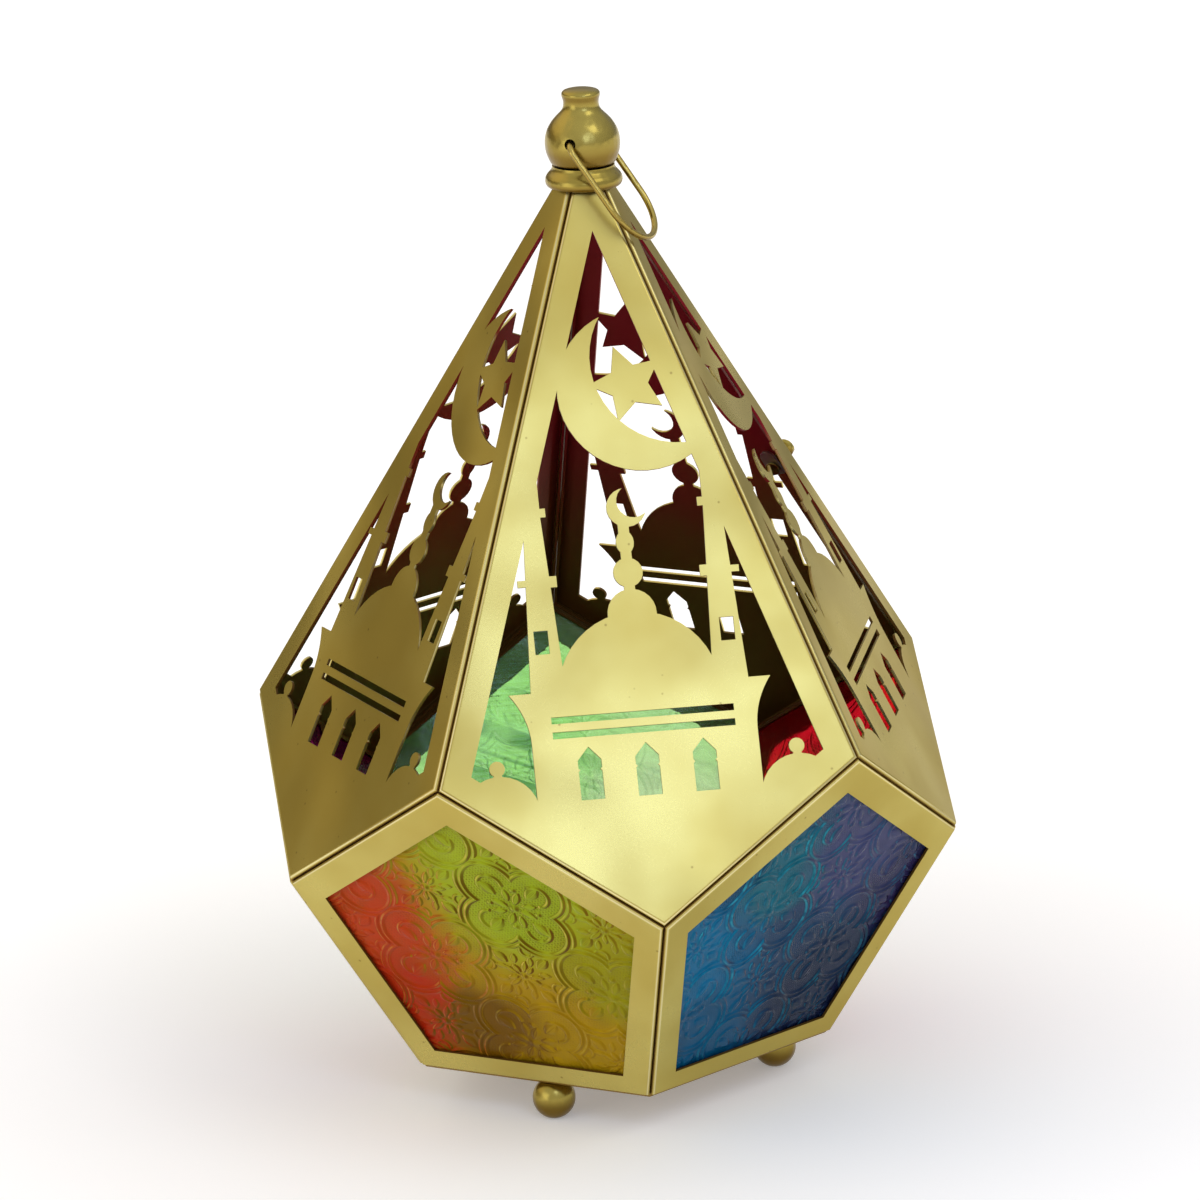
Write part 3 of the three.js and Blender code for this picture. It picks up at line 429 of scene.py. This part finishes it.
# %% Helpers for one piece
def alone(piece):
    bpy.ops.object.select_all(action="DESELECT")
    piece.select_set(True)
    bpy.context.view_layer.objects.active = piece


def edit(piece):
    alone(piece)
    bpy.ops.object.mode_set(mode="EDIT")
    bpy.ops.mesh.select_all(action="SELECT")


def done():
    bpy.ops.object.mode_set(mode="OBJECT")


def finish_piece(piece, material, body, slot, *nodes, angle=35):
    alone(piece)
    bpy.ops.object.transform_apply(location=True, rotation=True, scale=True)
    bpy.ops.object.shade_smooth_by_angle(angle=math.radians(angle))
    piece.data.materials.clear()
    piece.data.materials.append(material)
    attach(piece, body)
    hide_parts(*nodes)
    return piece


def apply(piece, modifier):
    alone(piece)
    bpy.ops.object.modifier_apply(modifier=modifier.name)


def drilled(piece, radius, depth, middle, rotation=(0, 0, 0), sides=32):
    """Cuts a round hole, as a drill would."""
    bpy.ops.object.select_all(action="DESELECT")
    bpy.ops.mesh.primitive_cylinder_add(vertices=sides, radius=radius, depth=depth,
                                        location=middle, rotation=rotation)
    drill = bpy.context.object
    drilling = piece.modifiers.new("drill", "BOOLEAN")
    drilling.operation, drilling.solver, drilling.object = "DIFFERENCE", "EXACT", drill
    apply(piece, drilling)
    bpy.data.objects.remove(drill)


# %% [markdown]
# ## Folded sheets with soft edges
# The solids of the panels, frames and floor already have the true folds and the pierced picture. Real
# cut edges are slightly rounded by tumbling and by the coat of finish, and a bend is a smooth curve.
# So each solid is copied, its loose triangles are merged, and a very small bevel rounds the cut
# edges. Bevelling a copy keeps every size and adds only the thin bright line that a real edge shows.


# %% Dressing a copy of a solid
SAME_SPOT = 0.002 * MM


def dressed(node, material, body, slot, bevel=0.12 * MM):
    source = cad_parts[node]
    piece = source.copy()
    piece.data = source.data.copy()
    piece.name = node + "_dressed"
    bpy.context.collection.objects.link(piece)
    edit(piece)
    bpy.ops.mesh.remove_doubles(threshold=SAME_SPOT)
    bpy.ops.mesh.customdata_custom_splitnormals_clear()
    bpy.ops.mesh.dissolve_limited(angle_limit=math.radians(0.4))
    done()
    rounding = piece.modifiers.new("edge", "BEVEL")
    rounding.width, rounding.segments, rounding.use_clamp_overlap = bevel, 2, True
    rounding.limit_method, rounding.angle_limit = "ANGLE", math.radians(50)
    rounding.harden_normals = False
    apply(piece, rounding)
    finish_piece(piece, material, body, slot, node, angle=32)
    even = piece.modifiers.new("even", "WEIGHTED_NORMAL")
    even.mode, even.weight, even.keep_sharp = "FACE_AREA", 100, True
    apply(piece, even)


SIDES = {"front_right": 36, "right": 108, "back": 180, "left": 252, "front_left": -36}
for panel in ("front_window_panel", "right_window_panel", "back_left_window_panel", "left_window_panel"):
    dressed(panel, GOLD, "lantern", "pale_gold")
for side in SIDES:
    dressed(side + "_frame", GOLD, "lantern", "pale_gold")
dressed("floor_plate", GOLD, "lantern", "pale_gold")
dressed("door_panel", GOLD, "door", "pale_gold")

# %% Hinges and fasteners
for place in ("lower", "upper"):
    dressed(place + "_hinge_door_leaf", CAST, "door", "pale_gold", 0.1 * MM)
    dressed(place + "_hinge_fixed_leaf", CAST, "lantern", "pale_gold", 0.1 * MM)
    dressed(place + "_hinge_pin", STEEL, "lantern", "steel", 0.12 * MM)
for fastener in ("cup_screw", "cup_nut", "foot_screw_1", "foot_screw_2", "foot_screw_3",
                 "cone_washer", "crown_bolt"):
    dressed(fastener, STEEL, "lantern", "steel", 0.15 * MM)
dressed("latch_tongue", STEEL, "latch", "steel", 0.12 * MM)
dressed("latch_knob", CAST, "latch", "pale_gold", 0.15 * MM)
print("hinges, screws and latch dressed")

# %% [markdown]
# ## Pressed flowers in the glass
# The glass is rolled against an engraved cylinder, which leaves a repeating relief: four-lobed
# medallions with a double outline on a slanting square net, a comma-shaped leaf in each lobe, and a
# small flower with sprigs where four medallions meet. The relief is worked out as a height over the
# flat sheet, as an engraver would plan it, and then pressed into a fine grid of the pane's outline.

# %% The net of medallions
# These sizes are in the pane's own millimetres. NET is the distance between medallions.
NET = 40.4
NET_TURN = math.radians(36)
LOBE_AT, LOBE_RADIUS, OUTLINE_GAP = 10.6, 8.8, 1.9


def ridge(distance, width):
    return np.exp(-((distance / width) ** 2))


def turned(x, y, angle):
    return x * math.cos(angle) + y * math.sin(angle), y * math.cos(angle) - x * math.sin(angle)


def on_net(x, y, origin, shift):
    """Coordinates from the nearest medallion, or with a shift of half the net from the nearest gap."""
    u, v = turned(x - origin[0], y - origin[1], NET_TURN)
    u, v = u - shift * NET, v - shift * NET
    return u - NET * np.round(u / NET), v - NET * np.round(v / NET)


# %% Leaves and curls
def leaf(u, v, at, angle, length, width):
    """A pointed leaf with a vein, its stalk end at the given place."""
    a, b = turned(u - at[0], v - at[1], angle)
    along = np.clip(a / length, 0, 1)
    half = width * np.sin(math.pi * along) ** 0.8
    body = np.clip(1 - np.abs(b) / (half + 1e-3), 0, 1) ** 0.6 * (a > 0) * (a < length)
    return body - 0.35 * body * ridge(b, 0.3)


def curl(u, v, at, radius, start, sweep, width):
    """A raised line that follows part of a circle."""
    du, dv = u - at[0], v - at[1]
    angle = np.mod(np.arctan2(dv, du) - start, 2 * math.pi)
    return ridge(np.hypot(du, dv) - radius, width) / (1 + np.exp((angle - sweep) / 0.12))


# %% One medallion and one flower
def medallion_edge(u, v):
    """Distance outside the four lobes and the middle, negative inside them."""
    lobes = [np.hypot(u - LOBE_AT * math.cos(t), v - LOBE_AT * math.sin(t))
             for t in np.arange(4) * math.pi / 2]
    return np.minimum(np.minimum.reduce(lobes) - LOBE_RADIUS, np.hypot(u, v) - LOBE_RADIUS)


def medallion(u, v):
    edge = medallion_edge(u, v)
    height = np.maximum(ridge(edge, 0.52), 0.85 * ridge(edge - OUTLINE_GAP, 0.48))
    for k in range(4):
        a, b = turned(u, v, k * math.pi / 2)
        height = np.maximum(height, leaf(a, b, (7.0, 0.9), 0.12, 6.6, 2.1))
        height = np.maximum(height, 0.8 * curl(a, b, (10.4, -0.4), 3.9, -2.2, 3.6, 0.5))
        height = np.maximum(height, 0.85 * leaf(a, b, (1.4, 1.0), 0.5, 5.6, 1.4))
        height = np.maximum(height, 0.75 * leaf(a, b, (3.0, -0.6), -0.55, 5.0, 1.25))
        height = np.maximum(height, 0.8 * ridge(np.hypot(a - 5.6, b - 5.2), 0.8))
    return np.maximum(height, 0.9 * ridge(np.hypot(u, v), 1.3))


def flower(u, v):
    away = np.hypot(u, v)
    height = 0.8 * ridge(away, 1.0)
    for k in range(10):
        a, b = turned(u, v, k * math.pi / 5 + 0.1)
        petal = leaf(a, b, (1.7, 0.0), 0.12 * (-1) ** k, 3.8 + 1.4 * (k % 2), 1.0)
        height = np.maximum(height, 0.95 * petal)
    for k in range(4):
        a, b = turned(u, v, k * math.pi / 2)
        height = np.maximum(height, 0.95 * leaf(a, b, (6.7, 0.2), 0.1, 5.8, 1.9))
        height = np.maximum(height, 0.7 * leaf(a, b, (5.2, 1.6), 0.75, 4.2, 1.15))
        height = np.maximum(height, 0.7 * leaf(a, b, (5.2, -1.6), -0.75, 4.2, 1.15))
        height = np.maximum(height, 0.6 * curl(a, b, (9.4, 6.6), 2.2, 2.0, 3.4, 0.4))
    return height


# %% The whole relief
def relief(x, y, origin):
    """Height of the pressed pattern, 0 to 1, at points in the pane's millimetres."""
    u, v = on_net(x, y, origin, 0.0)
    p, q = on_net(x, y, origin, 0.5)
    height = np.maximum(medallion(u, v), flower(p, q) * (medallion_edge(u, v) > OUTLINE_GAP + 0.4))
    wander = 0.04 * np.sin(x * 0.9 + 1.3 * np.sin(y * 0.4)) * np.sin(y * 0.8 + np.sin(x * 0.5))
    return np.clip(height + wander + 0.04, 0, 1)


sample = relief(*np.meshgrid(np.linspace(-30, 30, 61), np.linspace(-30, 30, 61)), (12.3, 19.5))
print("relief from", round(float(sample.min()), 2), "to", round(float(sample.max()), 2))

# %% [markdown]
# ## Rolling the panes
# A pane starts as a fine grid. Five cuts give it the outline that drops into its frame, the relief
# becomes the weights of a vertex group, and a Displace modifier presses it up by the real depth of
# half a millimetre. Extruding the rim backwards and closing it gives the plain back. Displacing real
# points, where a bump would only shade them, lets the relief bend what shows through. Two attributes
# go with the mesh for its finish: where the fine stipple lies, and how far each spot leans to the left
# or right. The front panes get the finer grids, because they are seen close up.

# %% Cutting one pane
GRID_SIZE = 122 * MM
PANE_FRONT = 1.62 * MM
PANE_THICK = 1.8 * MM
PRESS_DEPTH = 0.5 * MM
PANE_APOTHEM = APOTHEM - 3.6 * MM
PANE_ANGLES = [-math.pi / 2 + k * 2 * math.pi / 5 for k in range(5)]


def cut_pane(name, cells):
    bpy.ops.object.select_all(action="DESELECT")
    bpy.ops.mesh.primitive_grid_add(x_subdivisions=cells, y_subdivisions=cells, size=GRID_SIZE)
    piece = bpy.context.object
    piece.name = name
    bpy.ops.object.mode_set(mode="EDIT")
    for angle in PANE_ANGLES:
        outward = Vector((math.cos(angle), math.sin(angle), 0))
        bpy.ops.mesh.select_all(action="SELECT")
        bpy.ops.mesh.bisect(plane_co=outward * PANE_APOTHEM, plane_no=outward, clear_outer=True)
    done()
    return piece


# %% The relief at the points of one pane
PLAIN_RIM, RIM_RISE = 1.0, 2.0
LEAN_STEP = 0.25


def set_relief(piece, origin, turn_by):
    """Stores the height as a vertex group, and the lean and the stipple's field as attributes."""
    co = np.empty(len(piece.data.vertices) * 3)
    piece.data.vertices.foreach_get("co", co)
    x, y = co.reshape(-1, 3)[:, 0] / MM, co.reshape(-1, 3)[:, 1] / MM
    rim = np.minimum.reduce([PANE_APOTHEM / MM - x * math.cos(a) - y * math.sin(a) for a in PANE_ANGLES])
    weights = relief(*turned(x, y, turn_by), origin) * np.clip((rim - PLAIN_RIM) / RIM_RISE, 0, 1)
    group = piece.vertex_groups.new(name="relief")
    for index, weight in enumerate(weights):
        group.add([index], float(weight), "REPLACE")
    right = relief(*turned(x + LEAN_STEP, y, turn_by), origin)
    left = relief(*turned(x - LEAN_STEP, y, turn_by), origin)
    inner = medallion_edge(*on_net(*turned(x, y, turn_by), origin, 0.0)) < -0.9
    for name, values in (("lean", right - left), ("field", inner * (weights < 0.2))):
        values = values.astype(np.float32)
        piece.data.attributes.new(name, "FLOAT", "POINT").data.foreach_set("value", values)


# %% Pressing one pane
def pressed_pane(side, origin, turn_by, cells):
    piece = cut_pane(side + "_pressed_pane", cells)
    set_relief(piece, origin, turn_by)
    pressing = piece.modifiers.new("press", "DISPLACE")
    pressing.direction, pressing.mid_level = "Z", 0.0
    pressing.strength, pressing.vertex_group = PRESS_DEPTH, "relief"
    apply(piece, pressing)
    edit(piece)
    bpy.ops.mesh.select_all(action="DESELECT")
    bpy.ops.mesh.select_non_manifold()
    bpy.ops.mesh.extrude_region_move(TRANSFORM_OT_translate={"value": (0, 0, -PANE_THICK)})
    bpy.ops.mesh.edge_face_add()
    bpy.ops.mesh.select_all(action="SELECT")
    bpy.ops.mesh.normals_make_consistent(inside=False)
    done()
    piece.matrix_world = face_matrix(SIDES[side], -TILT) @ Matrix.Translation((0, 0, -PANE_FRONT))
    return finish_piece(piece, GLASS[side], "lantern", GLASS_SLOTS[side], side + "_pane", angle=60)


# %% The five panes
# Each has the place of one medallion in millimetres, the net's further turn, and the grid's fineness.
for side, origin, turn_by, cells in (
        ("front_left", (12.3, 19.5), 0.0, 376), ("front_right", (-9.0, 14.0), 0.35, 376),
        ("right", (4.0, 6.0), 0.2, 230), ("back", (-6.0, 10.0), 0.1, 260),
        ("left", (2.0, -8.0), 0.5, 230)):
    pane = pressed_pane(side, origin, turn_by, cells)
    print(pane.name, len(pane.data.polygons), "faces")

# %% [markdown]
# ## Turned pieces
# Finial, collar and cup are round about an axis, so each is drawn as half a section and spun. The half
# section is pulled out of one point, corner by corner, as with the extrude key, and the spin closes on
# itself, so its first and last rows are merged.


# %% Spinning a half section
def spun(name, section, steps):
    """section: (radius, height) in millimetres, from the bottom, round the outside and back down."""
    bpy.ops.object.select_all(action="DESELECT")
    bpy.ops.mesh.primitive_plane_add(size=MM, location=(0, 0, 0))
    piece = bpy.context.object
    piece.name = name
    edit(piece)
    bpy.ops.mesh.merge(type="CENTER")
    corners = [Vector((radius * MM, 0, height * MM)) for radius, height in section]
    bpy.ops.transform.translate(value=corners[0])
    for here, goal in zip(corners, corners[1:]):
        bpy.ops.mesh.extrude_region_move(TRANSFORM_OT_translate={"value": goal - here})
    bpy.ops.mesh.select_all(action="SELECT")
    bpy.ops.mesh.spin(steps=steps, angle=2 * math.pi, center=(0, 0, 0), axis=(0, 0, 1))
    bpy.ops.mesh.select_all(action="SELECT")
    bpy.ops.mesh.remove_doubles(threshold=2 * SAME_SPOT)
    bpy.ops.mesh.normals_make_consistent(inside=False)
    done()
    return piece


def rounded(points, share, steps):
    """The same section with each inner corner replaced by a short curve."""
    points = [Vector(p) for p in points]
    result = [points[0]]
    for before, corner, after in zip(points, points[1:], points[2:]):
        start = corner.lerp(before, share)
        end = corner.lerp(after, share)
        for k in range(steps + 1):
            t = k / steps
            result.append(start.lerp(corner, t).lerp(corner.lerp(end, t), t))
    result.append(points[-1])
    return [(max(p.x, 0.0), p.y) for p in result]


# %% [markdown]
# ## Finial and collar
# The finial is one turned bulb that runs up through a short neck to a flat knob, and the collar is a
# rounded ring that hides the tips of the panels. The bail passes through a hole drilled across the
# bulb, cut with a Boolean as a drill would, so that its dark mouth shows.

# %% Where the crown sits
# Heights are in millimetres. SEAT is the joint of bulb and collar, and the bolt runs up through both.
SEAT = POINT_Z / MM - 9.2
FINIAL_FOOT = -0.2
COLLAR_TOP = -0.35
CONE_TOP = -1.9
BOLT_HOLE, BOLT_HOLE_TOP = 2.3, 5.1
BORE_HEIGHT = (SEAT + 7.7) * MM
BORE_RADIUS = 1.7 * MM
BORE_TURN = math.radians(-28)


def above_seat(points):
    return [(radius, SEAT + height) for radius, height in points]


# %% Finial
BULB = [(BOLT_HOLE, FINIAL_FOOT), (9.2, FINIAL_FOOT), (10.2, 1.9), (10.9, 4.0), (11.1, 6.2), (10.9, 8.5),
        (10.2, 10.6), (9.0, 12.6), (7.6, 14.2), (6.2, 15.5)]
NECK = [(5.45, 16.6), (5.2, 17.8), (5.25, 18.9), (5.5, 19.8)]
KNOB = [(5.7, 20.5), (5.65, 21.2), (5.1, 21.8), (3.9, 22.15), (2.0, 22.36), (0.0, 22.4)]
hole = [(0.0, BOLT_HOLE_TOP), (BOLT_HOLE, BOLT_HOLE_TOP), (BOLT_HOLE, FINIAL_FOOT)]
finial = spun("finial_turned", rounded(above_seat(BULB + NECK + KNOB), 0.42, 4) + above_seat(hole), 96)
drilled(finial, BORE_RADIUS, 30 * MM, (0, 0, BORE_HEIGHT), (math.pi / 2, 0, BORE_TURN), sides=40)
finish_piece(finial, CAST, "lantern", "pale_gold", "finial")
print("finial", len(finial.data.polygons), "faces")

# %% Collar
RING = [(9.2, COLLAR_TOP), (9.25, -0.9), (9.5, -1.6), (10.1, -2.3), (10.7, -2.9), (11.2, -3.7),
        (11.4, -4.7), (11.3, -5.6), (10.9, -6.3), (10.5, -6.55)]
inner = [(10.07, -6.6), (7.16, CONE_TOP), (BOLT_HOLE, CONE_TOP), (BOLT_HOLE, COLLAR_TOP),
         (9.2, COLLAR_TOP)]
collar = spun("collar_turned", rounded(above_seat(RING), 0.35, 3) + above_seat(inner), 96)
finish_piece(collar, CAST, "lantern", "pale_gold", "collar")
print("collar", len(collar.data.polygons), "faces")

# %% [markdown]
# ## Feet and candle cup
# The feet are solid balls with a small worn flat to stand on, cut level at the top where they meet
# the floor plate, and drilled for their screws. The cup is spun from thin sheet with its rim rolled
# over and a dimple for its screw.

# %% Feet
FOOT_CIRCLE = 47.8 * MM
FOOT_RADIUS = 6.4 * MM
FOOT_MIDDLE = 6.079 * MM
FOOT_TOP = 11.25 * MM
SCREW_HOLE, SCREW_DEPTH, PAST_TOP = 1.8 * MM, 6.3 * MM, 0.01 * MM
for number, azimuth in ((1, -32), (2, 76), (3, 220)):
    bpy.ops.object.select_all(action="DESELECT")
    turn = math.radians(azimuth)
    spot = Vector((FOOT_CIRCLE * math.sin(turn), -FOOT_CIRCLE * math.cos(turn), FOOT_MIDDLE))
    bpy.ops.mesh.primitive_uv_sphere_add(segments=56, ring_count=36, radius=FOOT_RADIUS, location=spot)
    foot = bpy.context.object
    foot.name = f"ball_foot_{number}_turned"
    edit(foot)
    bpy.ops.mesh.bisect(plane_co=(0, 0, 0), plane_no=(0, 0, -1), clear_outer=True, use_fill=True)
    bpy.ops.mesh.select_all(action="SELECT")
    bpy.ops.mesh.bisect(plane_co=(0, 0, FOOT_TOP), plane_no=(0, 0, 1), clear_outer=True, use_fill=True)
    done()
    drilled(foot, SCREW_HOLE, SCREW_DEPTH, (spot.x, spot.y, FOOT_TOP - SCREW_DEPTH / 2 + PAST_TOP))
    finish_piece(foot, CAST, "lantern", "pale_gold", f"ball_foot_{number}")
    print(foot.name, len(foot.data.polygons), "faces")

# %% Candle cup
# The sizes are in millimetres, and the heights are taken from the plain solid.
SHEET, CUP_INSIDE, CUP_OUTSIDE, ROLL = 0.8, 20.2, 21.0, 1.1
CUP_HOLE, DIMPLE = 1.8, 4.0
low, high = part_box("candle_cup")
FOOT_OF_CUP, RIM_TOP = low[2] / MM, high[2] / MM
bottom = FOOT_OF_CUP + 2.3
rolled = [(CUP_OUTSIDE + ROLL * math.cos(t), RIM_TOP - ROLL + ROLL * math.sin(t))
          for t in np.linspace(-math.pi / 2, math.pi / 2, 9)]
cup_section = [(CUP_HOLE, FOOT_OF_CUP), (DIMPLE, FOOT_OF_CUP), (DIMPLE + SHEET, bottom),
               (CUP_INSIDE, bottom), (CUP_OUTSIDE, bottom + SHEET), *rolled, (CUP_INSIDE, RIM_TOP),
               (CUP_INSIDE, bottom + 2 * SHEET), (CUP_INSIDE - SHEET, bottom + SHEET),
               (DIMPLE, bottom + SHEET), (DIMPLE - SHEET, FOOT_OF_CUP + SHEET),
               (CUP_HOLE, FOOT_OF_CUP + SHEET), (CUP_HOLE, FOOT_OF_CUP)]
cup = spun("candle_cup_spun", cup_section, 80)
finish_piece(cup, GOLD, "lantern", "pale_gold", "candle_cup")
print("cup", len(cup.data.polygons), "faces")

# %% [markdown]
# ## Bail
# The bail is one length of wire. It is bent here in the order a bender would work: a short stub in
# the bore, a tight bend, a straight leg, the round loop, and the same again backwards. Each straight
# is an extrusion and each bend a spin of the wire's round end.


# %% Bending the wire
WIRE_RADIUS = 0.95 * MM
BAIL_HALF, BAIL_LENGTH = 13.0 * MM, 35.2 * MM
STUB, KNEE = 5.5 * MM, 3.0 * MM
REACH = BAIL_LENGTH - BAIL_HALF


def bent_wire():
    bpy.ops.object.select_all(action="DESELECT")
    bpy.ops.mesh.primitive_circle_add(vertices=20, radius=WIRE_RADIUS, location=(-STUB, 0, 0),
                                      rotation=(0, math.pi / 2, 0), fill_type="NGON")
    piece = bpy.context.object
    piece.name = "bail_bent"
    bpy.ops.object.transform_apply(location=True, rotation=True, scale=True)
    edit(piece)
    steps = [
        ("run", (-(BAIL_HALF - KNEE - STUB), 0, 0)),
        ("turn", (-(BAIL_HALF - KNEE), KNEE, 0), math.pi / 2, 12),
        ("run", (0, REACH - KNEE, 0)),
        ("turn", (0, REACH, 0), math.pi, 56),
        ("run", (0, KNEE - REACH, 0)),
        ("turn", (BAIL_HALF - KNEE, KNEE, 0), math.pi / 2, 12),
        ("run", (-(BAIL_HALF - KNEE - STUB), 0, 0)),
    ]
    for kind, place, *bend in steps:
        if kind == "run":
            bpy.ops.mesh.extrude_region_move(TRANSFORM_OT_translate={"value": place})
        else:
            bpy.ops.mesh.spin(angle=bend[0], steps=bend[1], center=place, axis=(0, 0, 1))
    bpy.ops.mesh.select_all(action="SELECT")
    bpy.ops.mesh.remove_doubles(threshold=SAME_SPOT)
    bpy.ops.mesh.normals_make_consistent(inside=False)
    done()
    return piece


# %% Hanging the bail in its bore
BAIL_REST = math.radians(35)
bail = bent_wire()
print("bail", [round(v / MM, 1) for v in bail.dimensions])
bore_way = Vector((math.sin(BORE_TURN), -math.cos(BORE_TURN), 0))
hang_way = Vector((math.cos(BORE_TURN) * math.sin(BAIL_REST), math.sin(BORE_TURN) * math.sin(BAIL_REST),
                   -math.cos(BAIL_REST)))
placing = Matrix((bore_way, hang_way, bore_way.cross(hang_way))).transposed().to_4x4()
placing.translation = Vector((0, 0, BORE_HEIGHT))
bail.matrix_world = placing
finish_piece(bail, WIRE, "bail", "pale_gold", "bail", angle=60)

# %% [markdown]
# ## Floor and light
# The lantern stands on a plain pale floor under a large soft fill lamp high at the front right. A small
# key lamp in front is what the front panel mirrors, and a rim lamp low at the left lights that side.
# Satin metal shows what is around it, so the world is a quiet studio: brighter above and in front than
# behind, with a warm wall at the back left that is lit higher up. The floor is as white as studio paper
# to whatever looks at it, the camera, the metal and the glass, and keeps the lantern's soft shadow; its
# white lift is smaller near the lantern, which adds painted shade around the base.


# %% Floor
SHADE_POOL_INNER, SHADE_POOL_OUTER = 50 * MM, 420 * MM


def floor_finish():
    """Pale paint that the lamps shade, lifted to the white of a studio sweep for what looks at it, with
    less lift near the lantern: a painted shade around its base.
    """
    finish = Finish("pale_floor")
    clouds = finish.noise(1.5, 3.0)
    paint = finish.mix(clouds, linear(236, 236, 236), linear(242, 242, 242))
    path = finish.node("ShaderNodeLightPath", output="Is Camera Ray")
    seen = path.maths("MAXIMUM", path.output("Is Glossy Ray"), path.output("Is Transmission Ray"))
    seen = path.maths("MAXIMUM", path, seen)
    away = finish.place.vector("DISTANCE", (0, 0, 0), "Value")
    # Painted shade: the white lift is smaller near the lantern and full from about 0.42 m out.
    lift_with_painted_shade = away.smooth(SHADE_POOL_INNER, SHADE_POOL_OUTER) * 0.26 + 0.24
    finish.shader.inputs["Emission Strength"].default_value = 1.0
    glow = finish.mix(seen * lift_with_painted_shade, (0, 0, 0, 1), (1, 1, 1, 1))
    finish.surface(Base_Color=paint, Roughness=0.8, Emission_Color=glow)
    return finish.material


bpy.ops.object.select_all(action="DESELECT")
bpy.ops.mesh.primitive_circle_add(vertices=96, radius=6.0, fill_type="NGON", location=(0, 0, 0))
floor = bpy.context.object
floor.name = "studio_floor"
floor.data.materials.append(floor_finish())


# %% World
BRIGHTER_WAY, MEAN_LEVEL = (-0.02, -0.16, 0.34), 0.42
WALL_WAY = (-0.72, 0.67, 0.17)
AIR, WALL_LOW, WALL_HIGH = (1.0, 1.0, 1.02, 1), (0.48, 0.37, 0.17, 1), (1.85, 1.58, 1.20, 1)


def studio_world():
    around = Finish("studio", bpy.data.worlds, "Background", "Generated")
    level = around.along(BRIGHTER_WAY) + MEAN_LEVEL
    wall = around.along(WALL_WAY).smooth(0.35, 0.92)
    lit = around.along((0, 0, 1)).smooth(0.05, 0.40)
    paint = around.mix(lit, WALL_LOW, WALL_HIGH)
    around.surface(Color=around.mix(wall, AIR, paint), Strength=level)
    bpy.context.scene.world = around.material
    print("world", around.material.name)


studio_world()


# %% Lamps
LIT_POINT = Vector((0, 0, 0.15))


def soft_lamp(name, place, size, watts, colour=(1, 1, 1)):
    data = bpy.data.lights.new(name, "AREA")
    data.shape, data.size, data.energy, data.color = "SQUARE", size, watts, colour
    lamp = bpy.data.objects.new(name, data)
    bpy.context.collection.objects.link(lamp)
    lamp.location = place
    lamp.rotation_euler = (LIT_POINT - Vector(place)).to_track_quat("-Z", "Y").to_euler()


soft_lamp("key", (0.14, -0.90, 0.67), 0.34, 0.58, (0.78, 1.00, 1.80))
soft_lamp("fill", (1.2, -1.2, 2.2), 1.2, 7.0)
soft_lamp("rim", (-1.5, -0.8, 0.35), 0.9, 3.0)
bpy.context.scene.view_settings.view_transform = "Standard"
print(len(bpy.data.lights), "lamps")

# %% [markdown]
# ## Camera
# The camera stands where the photograph was taken from, a little left of the front and about 16
# degrees above level, and leans by two degrees as it did. A long lens lets the lantern fill the frame
# without changing that view of it.

# %% Camera
EYE = Vector((-0.3211, -2.2305, 0.7857))
AIM = Vector((0.0, 0.0, 0.1465))
CAMERA_LEAN = math.radians(2.2)
camera_data = bpy.data.cameras.new("camera")
camera_data.lens, camera_data.sensor_width = 236, 36
camera = bpy.data.objects.new("camera", camera_data)
bpy.context.collection.objects.link(camera)
upright = (AIM - EYE).to_track_quat("-Z", "Y").to_matrix()
camera.matrix_world = (upright @ Matrix.Rotation(-CAMERA_LEAN, 3, "Z")).to_4x4()
camera.location = EYE
bpy.context.scene.camera = camera
print("camera", round((AIM - EYE).length, 2), "m away")
